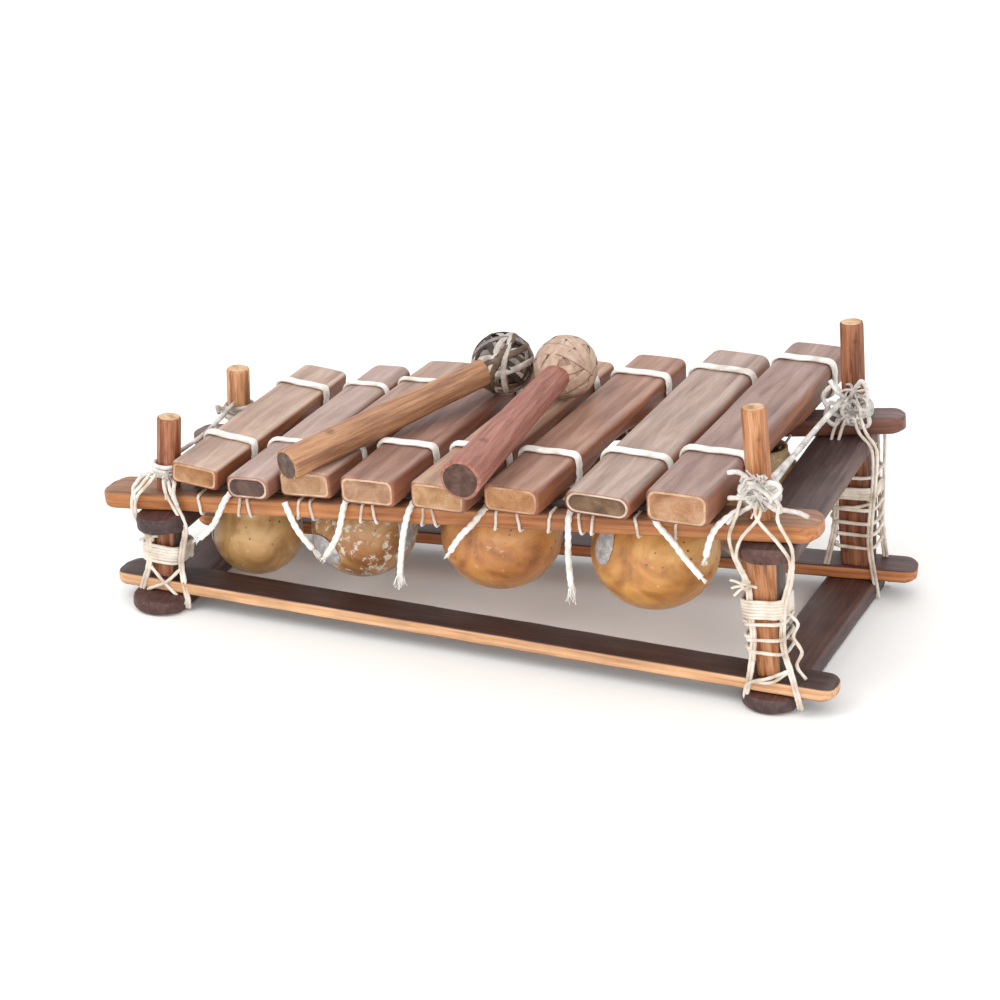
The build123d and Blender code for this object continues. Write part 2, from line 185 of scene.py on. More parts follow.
# ---- materials ----
def planedHardwood(name, settings):
    # planed and sanded hardwood: satin, wide soft grain, greyer worn top, redder sides
    material, tree, shader = startMaterial(name, 0.5)
    spot, facing = objectPlace(tree)
    streaks = noiseOf(tree, grainOf(tree, spot, 9, 110, 1), detail=4.0, distortion=0.9)
    pores = noiseOf(tree, grainOf(tree, spot, 1.1, 18, 1), detail=3.0, roughness=0.6)
    patches = noiseOf(tree, spot, 20.0, 4.0)
    topColour = rampOf(tree, streaks, (0.2, 0.42, 0.6, 0.82), settings["top"])
    sideColour = rampOf(tree, streaks, (0.22, 0.5, 0.78), settings["side"])
    isTop = rangeOf(tree, splitOf(tree, facing)["Z"], 0.25, 0.85)
    colour = mixColour(tree, isTop, sideColour, topColour)
    colour = shadeBy(tree, colour, pores, (0.3, 0.5), (0.62, 1.0), 0.4)
    paint(tree, shader, shadeBy(tree, colour, patches, (0.32, 0.66), (0.8, 1.0), 0.85))
    roughen(tree, shader, pores, 0.62, 0.42)
    bumpOnto(tree, shader, pores, 0.3, 0.4 * mm)
    return material


def sawnEndGrain(name, growth, pore, colours):
    # sawn across the fibres: dry and matt, cloudy growth and small dark pores
    material, tree, shader = startMaterial(name, 0.75)
    spot, _ = objectPlace(tree)
    pores = noiseOf(tree, spot, 1000 / pore, 3.0)
    base = rampOf(tree, noiseOf(tree, spot, 1000 / growth, 4.0, distortion=0.6), (0.3, 0.5, 0.7), colours)
    paint(tree, shader, shadeBy(tree, base, pores, (0.32, 0.5), (0.6, 1.0), 0.5))
    bumpOnto(tree, shader, pores, 0.5, 0.3 * mm)
    return material


def stainedBoard(name, settings):
    # sawn softwood board, face stained dark and rubbed, edges left nearly bare
    material, tree, shader = startMaterial(name, 0.5)
    spot, facing = objectPlace(tree)
    streaks = noiseOf(tree, grainOf(tree, spot, 3.5, 80, 1), detail=5.0, roughness=0.62, distortion=0.4)
    fibres = noiseOf(tree, grainOf(tree, spot, 0.8, 26, 1), detail=3.0)
    worn = noiseOf(tree, spot, 38.0, 4.0)
    face = rampOf(tree, streaks, (0.28, 0.5, 0.74), settings["face"])
    edge = rampOf(tree, streaks, (0.28, 0.5, 0.74), settings["edge"])
    isFace = rangeOf(tree, mathOf(tree, "ABSOLUTE", splitOf(tree, facing)["Z"]), 0.3, 0.75)
    colour = mixColour(tree, isFace, edge, face)
    paint(tree, shader, shadeBy(tree, colour, worn, (0.3, 0.62), (0.72, 1.0), 0.7))
    roughen(tree, shader, worn, 0.6, 0.4)
    bumpOnto(tree, shader, fibres, 0.5, 0.35 * mm)
    return material


def rivenBranch(name, settings):
    # split and whittled branch wood: long open fibres along Z, satin on the ridges, dark in the grooves
    material, tree, shader = startMaterial(name, 0.55)
    spot, facing = objectPlace(tree)
    streakPlace = grainOf(tree, spot, settings["streakWidth"], settings["streakLength"], 2)
    streaks = noiseOf(tree, streakPlace, detail=6.0, roughness=0.65, distortion=0.5)
    fibres = noiseOf(tree, grainOf(tree, spot, 0.7, 22, 2), detail=3.0)
    colour = rampOf(tree, streaks, (0.25, 0.42, 0.55, 0.75), settings["colours"])
    colour = shadeBy(tree, colour, fibres, (0.32, 0.52), (0.6, 1.0), 0.6)
    knots = addNode(tree, "ShaderNodeTexVoronoi", {"Vector": spot, "Scale": settings["knots"]}).outputs["Distance"]
    colour = shadeBy(tree, colour, knots, (0.05, 0.14), (0.35, 1.0), 0.7)
    # painted shade: the +X side of a post's shaft, where shade falls, is painted dark and rough
    edge = mathOf(tree, "ADD", splitOf(tree, facing)["X"], noiseOf(tree, streakPlace, 0.8, 4.0))
    inPaintedShade = rangeOf(tree, edge, settings["paintedShadeFrom"], settings["paintedShadeFrom"] + 0.12)
    onShaft = mathOf(tree, "LESS_THAN", splitOf(tree, spot)["Z"], settings["paintedShadeTop"])
    paintedShadeColour = rampOf(tree, fibres, (0.3, 0.5, 0.7), ("#2b221d", "#4a3d34", "#6b5c50"))
    paint(tree, shader, mixColour(tree, mathOf(tree, "MULTIPLY", inPaintedShade, onShaft), colour, paintedShadeColour))
    bumpOnto(tree, shader, fibres, 0.7, 0.5 * mm)
    return material


def gourdRind(name, settings):
    # dried calabash rind: hard waxy skin, cloudy ochre patches, small dark specks and scuffs
    material, tree, shader = startMaterial(name, 0.4, **{"Coat Weight": 0.25, "Coat Roughness": 0.35})
    spot, _ = objectPlace(tree)
    clouds = noiseOf(tree, spot, 1000 / 26, 5.0, 0.55, 0.8)
    mottle = noiseOf(tree, spot, 1000 / 7, 4.0, 0.7)
    base = rampOf(tree, clouds, (0.3, 0.45, 0.58, 0.72), settings["colours"])
    isPale = rampOf(tree, mottle, (settings["paleFrom"], settings["paleFrom"] + 0.08), (0.0, 1.0))
    patched = mixColour(tree, isPale, base, linearColour(settings["pale"]))
    specks = addNode(tree, "ShaderNodeTexVoronoi", {"Vector": spot, "Scale": 1000 / 6}).outputs["Distance"]
    isSpeck = rampOf(tree, specks, (0.1, 0.15), (1.0, 0.0))
    isChosen = rampOf(tree, noiseOf(tree, spot, 30.0, 1.0), (0.5, 0.6), (0.0, 1.0))
    speckMask = mathOf(tree, "MULTIPLY", isSpeck, isChosen)
    paint(tree, shader, mixColour(tree, speckMask, patched, linearColour("#4a2c14")))
    roughen(tree, shader, mottle, 0.3, 0.55)
    bumpOnto(tree, shader, mottle, 0.35, 0.5 * mm)
    return material


def spunCotton(name, fibre, dirt, colours):
    # loosely spun cotton: soft and matt with a little sheen, fibres along the cord, greyer in the lay
    material, tree, shader = startMaterial(name, 0.9, **{"Sheen Weight": 0.25, "Sheen Roughness": 0.5})
    spot, _ = objectPlace(tree)
    fibres = noiseOf(tree, spot, 1000 / fibre, 4.0, 0.7)
    base = rampOf(tree, noiseOf(tree, spot, 1000 / dirt, 3.0), (0.3, 0.5, 0.7), colours)
    paint(tree, shader, shadeBy(tree, base, fibres, (0.3, 0.55), (0.7, 1.0), 0.5))
    bumpOnto(tree, shader, fibres, 0.8, 0.3 * mm)
    return material


def driedSkin(name, colours):
    # thin dried membrane: greyish, slightly glossy, fine wrinkles
    material, tree, shader = startMaterial(name, 0.42)
    spot, _ = objectPlace(tree)
    wrinkles = noiseOf(tree, spot, 1000 / 5, 4.0, distortion=1.5)
    paint(tree, shader, rampOf(tree, wrinkles, (0.3, 0.5, 0.7), colours))
    bumpOnto(tree, shader, wrinkles, 0.6, 0.4 * mm)
    return material


def cutRubber(name, colours):
    # bands cut from sheet rubber: matt, dusty, slightly darker where stretched
    material, tree, shader = startMaterial(name, 0.62)
    spot, _ = objectPlace(tree)
    dust = noiseOf(tree, spot, 1000 / 6, 5.0, 0.65)
    paint(tree, shader, rampOf(tree, dust, (0.32, 0.5, 0.68), colours))
    bumpOnto(tree, shader, dust, 0.4, 0.3 * mm)
    return material


cottonWhite = spunCotton("spun_cotton_white", 0.9, 14, ("#cfc6ba", "#eeeae3", "#f8f5f0"))
cottonTwine = spunCotton("spun_cotton_twine", 0.8, 12, ("#b9a793", "#dccfc0", "#efe5da"))
cottonGrey = spunCotton("spun_cotton_grey", 0.9, 10, ("#8f877d", "#bab2a7", "#d9d3c9"))
cottonWorn = spunCotton("spun_cotton_worn", 0.9, 9, ("#a09890", "#cfc9c2", "#eae6e0"))
darkCloth = spunCotton("wound_dark_cloth", 1.1, 16, ("#231916", "#3d2c27", "#5b473f"))


# ---- meshes ----
def addMesh(name, skin, body, materials, place=None, node=None):
    # a piece from a skin of vertices, faces and the faces' materials; it stands for the CAD node, if one is named
    vertices, faces, faceMaterials = skin
    mesh = bpy.data.meshes.new(name)
    mesh.from_pydata([tuple(v) for v in vertices], [], faces)
    for material in materials:
        mesh.materials.append(material)
    mesh.polygons.foreach_set("material_index", faceMaterials)
    mesh.polygons.foreach_set("use_smooth", [True] * len(mesh.polygons))
    mesh.update()
    piece = bpy.data.objects.new(name, mesh)
    bpy.context.scene.collection.objects.link(piece)
    if place is not None:
        piece.matrix_world = place
    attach(piece, body)
    if node:
        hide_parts(node)
    return piece


def around(count):
    # the angles of so many points round a circle
    return [2 * math.pi * k / count for k in range(count)]


def placeFrom(x, y, z, origin):
    place = Matrix((x, y, z)).transposed().to_4x4()
    place.translation = origin
    return place


def gridFaces(rows, columns, base=0, inward=False):
    # quads between rows of points that run round closed loops of equal count
    faces = []
    for row in range(rows):
        near, far = base + row * columns, base + (row + 1) * columns
        for k in range(columns):
            j = (k + 1) % columns
            faces.append((near + k, far + k, far + j, near + j) if inward else (near + k, near + j, far + j, far + k))
    return faces


def loftLoops(loops, capStart=True, capEnd=True, capMaterial=0):
    # a skin over closed loops of equal count, with fans on the ends
    count = len(loops[0])
    vertices = [v for loop in loops for v in loop]
    faces = gridFaces(len(loops) - 1, count)
    faceMaterials = [0] * len(faces)
    for wanted, row, flip in ((capStart, 0, True), (capEnd, len(loops) - 1, False)):
        if not wanted:
            continue
        centre = sum((Vector(v) for v in loops[row]), Vector()) / count
        vertices.append(centre)
        hub = len(vertices) - 1
        for i in range(count):
            j = (i + 1) % count
            a, b = row * count + i, row * count + j
            faces.append((hub, b, a) if flip else (hub, a, b))
            faceMaterials.append(capMaterial)
    return vertices, faces, faceMaterials


def roundedSection(halfX, halfZ, radius, perCorner=5, perSide=4):
    # points of a rounded rectangle, anticlockwise seen from +Y's far side
    radius = min(radius, halfX * 0.98, halfZ * 0.98)
    points = []
    corners = [(1, 1, 0), (-1, 1, 90), (-1, -1, 180), (1, -1, 270)]
    for index, (sx, sz, start) in enumerate(corners):
        cx, cz = sx * (halfX - radius), sz * (halfZ - radius)
        for step in range(perCorner):
            a = math.radians(start + 90 * step / (perCorner - 1))
            points.append((cx + radius * math.cos(a), cz + radius * math.sin(a)))
        nextX, nextZ, nextStart = corners[(index + 1) % 4]
        end = points[-1]
        a = math.radians(nextStart)
        target = (nextX * (halfX - radius) + radius * math.cos(a), nextZ * (halfZ - radius) + radius * math.sin(a))
        for step in range(1, perSide):
            t = step / perSide
            points.append((end[0] + (target[0] - end[0]) * t, end[1] + (target[1] - end[1]) * t))
    return points


def easeStations(half, ends, spacing):
    # stations along a piece, close together near both ends
    offsets = [ends * (1 - math.cos(math.pi / 2 * i / 7)) for i in range(8)]
    middleCount = max(2, int((2 * half - 2 * ends) / spacing))
    middle = [-half + ends + (2 * half - 2 * ends) * i / middleCount for i in range(1, middleCount)]
    return [-half + o for o in offsets] + middle + [half - o for o in reversed(offsets)]


def waver(seed, x, y=0.0, z=0.0):
    return noise.noise(Vector((x + seed * 17.3, y + seed * 5.1, z + seed * 9.7)))


def waverRound(seed, angle, size, z):
    return waver(seed, math.cos(angle) * size, math.sin(angle) * size, z)


def lieOf(node, up, along):
    # where a long node lies: a matrix with X across, Y along and Z up, and its half sizes
    points = nodePoints(node)
    up = Vector(up).normalized()
    along = Vector(along).normalized()
    for _ in range(6):
        across = along.cross(up).normalized()
        reach = points @ np.array(along)
        side = points @ np.array(across)
        ends = []
        for edge, chosen in ((reach.min(), reach < reach.min() + 4 * mm), (reach.max(), reach > reach.max() - 4 * mm)):
            ends.append((edge, (side[chosen].min() + side[chosen].max()) / 2))
        drift = (ends[1][1] - ends[0][1]) / (ends[1][0] - ends[0][0])
        along = (along + across * drift).normalized()
        up = (up - along * up.dot(along)).normalized()
    across = along.cross(up).normalized()
    axes = np.array([across, along, up])
    local = points @ axes.T
    low, high = local.min(0), local.max(0)
    middle = Vector(((low + high) / 2) @ axes)
    return placeFrom(across, along, up, middle), (high - low) / 2


# ---- cords and twine ----
def smoothPath(points, step, closed=False):
    # a rounded line through given points
    points = [Vector(p) for p in points]
    count = len(points)
    result = []
    for i in range(count if closed else count - 1):
        p0 = points[(i - 1) % count] if closed or i > 0 else points[0] * 2 - points[1]
        p1, p2 = points[i], points[(i + 1) % count]
        p3 = points[(i + 2) % count] if closed or i + 2 < count else points[-1] * 2 - points[-2]
        pieces = max(1, int((p2 - p1).length / step))
        for k in range(pieces):
            t = k / pieces
            result.append(0.5 * ((2 * p1) + (p2 - p0) * t + (2 * p0 - 5 * p1 + 4 * p2 - p3) * t * t
                                 + (3 * p1 - p0 - 3 * p2 + p3) * t ** 3))
    if not closed:
        result.append(points[-1])
    return result


def twistedTube(path, radius, plies=3, pitch=0.0, depth=0.16, sides=10, closed=False, taper=1.0):
    # a laid cord: the section has one lobe for each ply, and turns once in a pitch
    pitch = pitch or radius * 7
    count = len(path)
    loops, travelled = [], 0.0
    tangent = (path[1] - path[0]).normalized()
    normal = tangent.orthogonal().normalized()
    for i, point in enumerate(path):
        before = path[(i - 1) % count] if closed or i > 0 else path[0]
        after = path[(i + 1) % count] if closed or i + 1 < count else path[-1]
        newTangent = (after - before).normalized()
        normal = (newTangent.cross(normal).cross(newTangent)).normalized()
        side = newTangent.cross(normal)
        if i:
            travelled += (point - path[i - 1]).length
        share = i / (count - 1)
        size = radius * (1 if closed else (1 + (taper - 1) * share))
        loop = []
        for a in around(sides):
            lobe = 1 - depth + depth * abs(math.cos(plies / 2 * (a - 2 * math.pi * travelled / pitch))) * 1.2
            loop.append(point + (normal * math.cos(a) + side * math.sin(a)) * size * lobe)
        loops.append(loop)
    if closed:
        loops.append(loops[0])
    return loftLoops(loops, capStart=not closed, capEnd=not closed)


def laidCord(path, radius):
    # the thick white cord of two plies, radius in mm
    return twistedTube(path, radius * mm, plies=2, pitch=9 * mm, depth=0.22, sides=12)


def addTubes(name, tubes, body, material, node=None):
    # several tubes as one piece
    vertices, faces = [], []
    for tube in tubes:
        offset = len(vertices)
        vertices += tube[0]
        faces += [tuple(i + offset for i in face) for face in tube[1]]
    return addMesh(name, (vertices, faces, [0] * len(faces)), body, [material], node=node)


def splinePoints(name, route, resolution=10):
    # the points of a smooth line whose control points are the route
    curve = bpy.data.curves.new(name + "_line", "CURVE")
    curve.dimensions = "3D"
    spline = curve.splines.new("NURBS")
    spline.points.add(len(route) - 1)
    for point, place in zip(spline.points, route):
        point.co = (*((Vector(place) + toOrigin) * mm), 1)
    spline.order_u = 3
    spline.use_endpoint_u = True
    curve.resolution_u = resolution
    holder = bpy.data.objects.new(name + "_line", curve)
    mesh = bpy.data.meshes.new_from_object(holder)
    points = [v.co.copy() for v in mesh.vertices]
    bpy.data.objects.remove(holder)
    return points


def frayTubes(tip, direction, length, strands, radius, seed):
    # loose yarns that fan out of a cut cord end
    spread = random.Random(seed)
    tubes = []
    for _ in range(strands):
        lean = Vector([spread.uniform(-1, 1) for _ in range(3)]) * 0.38
        way = (direction + lean).normalized()
        curl = Vector([spread.uniform(-1, 1) for _ in range(3)]) * length * 0.12
        size = length * spread.uniform(0.6, 1.0)
        path = smoothPath([tip - direction * 1.5 * mm, tip + way * size * 0.5 + curl, tip + way * size], 1.2 * mm)
        tubes.append(twistedTube(path, radius, plies=2, sides=5, taper=0.5))
    return tubes


tailSettings = {
    "diameter": 4.2, "fray": (7.0, 9.0, 6.0, 12.0, 7.0, 13.0, 5.0, 7.0),
    "routes": {
        "cord_tail_1": [(-163.5, -107.0, 92.0), (-165.0, -115.4, 89.8), (-168.5, -118.0, 80.0),
                        (-173.5, -119.5, 68.0), (-182.0, -121.0, 60.5)],
        "cord_tail_2": [(-122.2, -115.4, 93.4), (-116.5, -117.6, 83.0), (-109.5, -119.0, 73.0),
                        (-100.0, -120.5, 65.5)],
        "cord_tail_3": [(-80.0, -107.5, 100.6), (-79.5, -115.3, 98.6), (-80.8, -117.4, 88.0),
                        (-83.5, -118.6, 74.0), (-91.0, -120.5, 62.0)],
        "cord_tail_4": [(-32.5, -107.5, 105.6), (-33.0, -115.4, 103.6), (-35.5, -117.4, 93.0),
                        (-37.8, -118.4, 76.0), (-38.4, -120.0, 58.0)],
        "cord_tail_5": [(19.5, -107.5, 111.2), (17.5, -115.4, 109.0), (12.0, -117.8, 100.0),
                        (3.0, -119.2, 90.5), (-2.5, -120.8, 80.0)],
        "cord_tail_6": [(76.0, -107.5, 117.2), (76.2, -115.4, 115.0), (77.2, -117.4, 102.0),
                        (77.6, -118.6, 86.0), (80.4, -120.0, 69.0)],
        "cord_tail_7": [(130.8, -107.5, 123.0), (133.5, -115.5, 120.8), (147.0, -117.8, 110.5),
                        (156.5, -119.2, 99.5), (168.0, -120.8, 89.5)],
        "cord_tail_8": [(188.5, -111.5, 135.4), (183.5, -116.6, 132.4), (176.0, -118.6, 125.0),
                        (171.8, -119.8, 115.0), (170.4, -120.4, 104.5)],
    },
}


def makeTails():
    for number, (name, route) in enumerate(tailSettings["routes"].items()):
        points = splinePoints(name, route)
        radius = tailSettings["diameter"] / 2 * mm
        tube = twistedTube(points, radius, plies=2, pitch=11 * mm, depth=0.22, sides=14)
        piece = addTubes(name + "_cotton", [tube], "root", cottonWhite, name)
        way = (points[-1] - points[-3]).normalized()
        yarns = frayTubes(points[-1], way, tailSettings["fray"][number] * mm, 16, 0.32 * mm, number)
        fray = addTubes(name + "_fray", yarns, "root", cottonWhite)


makeTails()
print("hanging cord ends made")


# ---- bars ----
barLooks = {
    1: {"top": ("#8f7262", "#ad9080", "#c2a796", "#cfb6a6"), "side": ("#632810", "#8a4c2a", "#ad7046"),
        "end": ("#784d2c", "#9b6c44", "#af8560"),
        "rim": ("#a17452", "#ba9270", "#caaa8c"), "sunk": 0.3, "corner": 2.6},
    2: {"top": ("#8d7167", "#ac9187", "#bda399", "#cbb3a9"), "side": ("#5c3a2d", "#815544", "#a07262"),
        "end": ("#3a2823", "#57403a", "#6c5248"),
        "rim": ("#9a7460", "#b6947f", "#caad99"), "sunk": 1.4, "corner": 5.5},
    3: {"top": ("#816356", "#a38475", "#b69888", "#c4a999"), "side": ("#6a3c2a", "#8f5a41", "#ad7a5c"),
        "end": ("#8d6a49", "#aa8461", "#be9e7f"),
        "rim": ("#a98060", "#bd9a7a", "#cbb096"), "sunk": 0.3, "corner": 3.2},
    # bar 4's top colours hold, besides the wood's own tone, a painted shade of the mallet's shadow on its top
    4: {"top": ("#6f4c3f", "#8b6657", "#a17c6c", "#b39080"), "side": ("#73412d", "#93583e", "#b27858"),
        "end": ("#815e43", "#a0795c", "#b39178"),
        "rim": ("#ab8468", "#c19e82", "#d2b69e"), "sunk": 0.5, "corner": 3.8},
    5: {"top": ("#8a6550", "#ac8770", "#c19c84", "#cfad95"), "side": ("#66392a", "#88553f", "#a97558"),
        "end": ("#89623e", "#a87f58", "#bc9874"),
        "rim": ("#a2795a", "#b89373", "#c6a88c"), "sunk": 0.4, "corner": 3.2},
    6: {"top": ("#744c3c", "#966e5c", "#ac8572", "#ba9786"), "side": ("#693622", "#8b5032", "#ae6f4a"),
        "end": ("#825630", "#a37147", "#b68860"),
        "rim": ("#9e7152", "#b2896a", "#c09f82"), "sunk": 0.4, "corner": 4.2},
    7: {"top": ("#7d6357", "#a2887c", "#b69d91", "#c4aea3"), "side": ("#65311c", "#844b30", "#a06648"),
        "end": ("#463020", "#674c35", "#80664e"),
        "rim": ("#a9907c", "#bea895", "#cebbab"), "sunk": 1.2, "corner": 6.5},
    8: {"top": ("#6c4d44", "#907268", "#a4877d", "#b2988f"), "side": ("#64392a", "#87543d", "#a87457"),
        "end": ("#835838", "#a57856", "#b69072"),
        "rim": ("#a57e60", "#ba997c", "#c8ad93"), "sunk": 0.5, "corner": 5.0},
}
barShape = {"endRound": 2.2, "wave": 0.5, "crown": 0.5, "hollowShare": 0.16, "hollowDepth": 4.4, "frontCorner": 2.2,
            "backCorner": 5.0}


def makeBar(number):
    look = barLooks[number]
    node = f"bar_{number}"
    place, half = lieOf(node, bounceAxis(node), (0, 1, 0))
    halfX, halfY, halfZ = half
    loops = []
    for y in easeStations(halfY, barShape["backCorner"] * mm, 4 * mm):
        fromEnd = halfY - abs(y)
        insets = []
        for size in (barShape["endRound"] * mm, (barShape["backCorner"] if y > 0 else barShape["frontCorner"]) * mm):
            insets.append(size - math.sqrt(max(0.0, size ** 2 - max(0.0, size - fromEnd) ** 2)))
        hollowHalf = barShape["hollowShare"] * 2 * halfY
        scoop = max(0.0, 1 - (y / hollowHalf) ** 2) * barShape["hollowDepth"] * mm
        loop = []
        for x, z in roundedSection(halfX - max(insets), halfZ - insets[0], look["corner"] * mm, 7, 5):
            level = (z / halfZ + 1) / 2
            if z > 0:
                z += barShape["crown"] * mm * (1 - (x / halfX) ** 2) - 0.4 * mm
            else:
                z += scoop * min(1.0, -z / halfZ * 1.4)
            sway = waver(number, x * 18, y * 9, z * 18) * barShape["wave"] * mm
            rough = waver(number + 40, x * 160, y * 50, z * 160) * 0.12 * mm
            scale = 1 - (abs(sway) + rough) / halfX
            loop.append(Vector((x * scale, y, z * (1 - (0.25 * mm + rough) / halfZ) + sway * 0.3 * level)))
        loops.append(loop)
    # both ends: a worn rim round a slightly sunken sawn face
    for end, way in ((0, 1), (len(loops) - 1, -1)):
        edge = loops[end]
        rim = [Vector((v.x * 0.965, v.y, v.z * 0.93)) for v in edge]
        sunk = [Vector((v.x * 0.91, v.y + way * look["sunk"] * mm, v.z * 0.82)) for v in edge]
        mid = [Vector((v.x * 0.45, v.y + way * (look["sunk"] + 0.15 * waver(number, i * 0.4)) * mm, v.z * 0.4))
               for i, v in enumerate(edge)]
        loops = [mid, sunk, rim] + loops if end == 0 else loops + [rim, sunk, mid]
    vertices, faces, faceMaterials = loftLoops(loops, capMaterial=1)
    count, rows = len(loops[0]), len(loops) - 1
    for row in range(rows):
        fromTip = min(row, rows - 1 - row)
        if fromTip < 4:
            faceMaterials[row * count:(row + 1) * count] = [1 if fromTip < 2 else 2] * count
    grain = planedHardwood(f"planed_hardwood_{number}", look)
    end = sawnEndGrain(f"sawn_end_grain_{number}", 12, 1.1, look["end"])
    rim = sawnEndGrain(f"worn_rim_{number}", 9, 1.4, look["rim"])
    skin = vertices, faces, faceMaterials
    addMesh(node + "_wood", skin, node, [grain, end, rim], place, node)
    return place, half


barCordShape = {"wide": 7.6, "narrow": 5.4, "thick": 3.1, "plies": 3, "lay": 11}


def makeBarCords(number, place, half):
    # a flat soft loop near each end, drawn tight round the bar
    node = f"bar_{number}_cords"
    along = place.to_3x3().col[1].copy()
    points = nodePoints(node) - np.array(place.translation)
    reach = points @ np.array(along)
    # bars 2 and 3 lie so close that their loops are drawn thinner
    wide = barCordShape["narrow" if number in (2, 3) else "wide"] / 2 * mm
    thick = barCordShape["thick"] / 2 * mm * (0.85 if number in (2, 3) else 1)
    corner = (barLooks[number]["corner"] + 1.3) * mm
    outline = roundedSection(half[0] + thick * 0.8, half[2] + thick * 0.8, corner, 9, 14)
    tubes = []
    for side in (-1, 1):
        chosen = reach[reach * side > 0]
        y = (chosen.min() + chosen.max()) / 2
        loops = []
        for index, (x, z) in enumerate(outline):
            before, after = outline[index - 1], outline[(index + 1) % len(outline)]
            outward = Vector((after[1] - before[1], 0, before[0] - after[0])).normalized()
            drift = waver(number * 3 + side, x * 40, z * 40) * 1.6 * mm
            lay = 2 * math.pi * barCordShape["lay"] * index / len(outline)
            loop = []
            for a in around(14):
                ply = 1 + 0.08 * math.cos(barCordShape["plies"] * a + lay)
                spot = Vector((x, y + drift, z)) + outward * math.cos(a) * thick * ply
                loop.append(place @ (spot + Vector((0, math.sin(a) * wide * ply, 0))))
            loops.append(loop)
        loops.append(loops[0])
        tubes.append(loftLoops(loops, False, False))
    addTubes(node + "_cotton", tubes, f"bar_{number}", cottonWhite, node)


for barNumber in barLooks:
    barPlace, barHalf = makeBar(barNumber)
    makeBarCords(barNumber, barPlace, barHalf)
print("bars made")


# ---- frame boards ----
darkFace = ("#341713", "#4d2c28", "#65423d")
paleEdge = ("#a97a58", "#d19f73", "#e7bd92")
boardLooks = {
    "lower_rail_front": {"up": upAxis, "along": (1, 0, 0), "face": ("#2a1a17", "#3f2823", "#553a33"),
                         "edge": paleEdge, "end": 9, "edgeRound": 1.6, "wave": 0.9},
    "lower_rail_back": {"up": upAxis, "along": (math.cos(backTurn), math.sin(backTurn), 0), "face": darkFace,
                        "edge": ("#8a4c26", "#b06b3c", "#c98750"), "end": 9, "edgeRound": 1.6, "wave": 0.9},
    "upper_rail_front": {"up": deckUp, "along": deckAlong, "face": ("#6d4a38", "#97694c", "#b98a66"),
                         "edge": ("#84481f", "#b06f3c", "#c98b57"), "end": 10, "edgeRound": 2.2, "wave": 1.0},
    "upper_rail_back": {"up": deckUp, "along": deckAlong * math.cos(backTurn) + Vector((0, math.sin(backTurn), 0)),
                        "face": ("#4b3430", "#6a4e48", "#856863"), "edge": ("#4d2a20", "#6d4030", "#84523f"),
                        "end": 10, "edgeRound": 2.2, "wave": 1.0},
    "foot_board_left": {"up": upAxis, "along": (0, 1, 0), "face": darkFace, "edge": darkFace, "end": 15,
                        "edgeRound": 3.4, "wave": 1.0},
    "foot_board_right": {"up": upAxis, "along": (0, 1, 0), "face": ("#38211d", "#54352e", "#6d4a40"),
                         "edge": ("#2f1e1c", "#45302e", "#5b4542"), "end": 15, "edgeRound": 3.4, "wave": 1.0},
    "cross_board_left": {"up": deckUp, "along": (0, 1, 0), "face": darkFace, "edge": ("#241615", "#392726", "#4f3b39"),
                         "end": 14, "edgeRound": 3.2, "wave": 0.9},
    "cross_board_right": {"up": deckUp, "along": (0, 1, 0), "face": ("#33221f", "#4c3633", "#645050"),
                          "edge": ("#391f1a", "#54332b", "#6b463b"), "end": 14, "edgeRound": 3.2, "wave": 0.9},
}


def makeBoard(node, look, seed):
    place, half = lieOf(node, look["up"], look["along"])
    halfX, halfY, halfZ = half
    corner = look["end"] * mm
    loops = []
    for y in easeStations(halfY, corner, 7 * mm):
        fromEnd = halfY - abs(y)
        narrow = corner - math.sqrt(max(0.0, corner ** 2 - max(0.0, corner - fromEnd) ** 2))
        thin = min(narrow, 4 * mm) * 0.35
        loop = []
        for x, z in roundedSection(max(halfX - narrow, 2 * mm), halfZ - thin, look["edgeRound"] * mm, 5, 5):
            sway = (waver(seed, x * 12, y * 7, z * 12) - 0.35) * look["wave"] * mm * 0.5
            chip = waver(seed + 9, x * 90, y * 45, z * 90) * 0.3 * mm
            pull = 1 + min(0.0, sway + chip) / halfX
            drop = 1 + min(0.0, chip - 0.1 * mm) / halfZ
            loop.append(Vector((x * pull, y, z * drop)))
        loops.append(loop)
    stain = stainedBoard("stained_" + node, look)
    addMesh(node + "_wood", loftLoops(loops), "root", [stain], place, node)
    return place, half


boardLies = {node: makeBoard(node, look, seed) for seed, (node, look) in enumerate(boardLooks.items(), 3)}
print("frame boards made")


# ---- posts ----
# the shade-side threshold per post sets where the +X side of its shaft is painted dark as painted shade
postLooks = {
    "post_front_left": {"colours": ("#491e04", "#783e1f", "#a06546", "#bb8966"), "seed": 2, "paintedShadeFrom": 1.05},
    "post_front_right": {"colours": ("#5c2b10", "#985c30", "#bb8056", "#cea07a"), "seed": 5, "paintedShadeFrom": 1.2},
    "post_back_left": {"colours": ("#6a3a20", "#a06a45", "#cc9468", "#e2b089"), "seed": 7, "paintedShadeFrom": 1.1},
    "post_back_right": {"colours": ("#3f1b07", "#6d3b21", "#965d3d", "#b17c59"), "seed": 11, "paintedShadeFrom": 1.3},
}


# radii in mm: only the shaft reaches past shaftOver, and the tenon stays under tenonOver
postShape = {"shaftOver": 8.6, "tenonOver": 7, "pegRadius": 8.2, "corner": 5.5, "rows": 34}


def postPlaceOf(node):
    points = nodePoints(node)
    top = Vector(points[points[:, 2] > points[:, 2].max() - 2.6 * mm].mean(0))
    bottom = Vector(points[points[:, 2] < points[:, 2].min() + 1.5 * mm].mean(0))
    up = (top - bottom).normalized()
    across = (Vector((1, 0, 0)) - up * up.x).normalized()
    place = placeFrom(across, up.cross(across), up, bottom)
    local = (points - np.array(bottom)) @ np.array([across, up.cross(across), up]).T
    return place, local


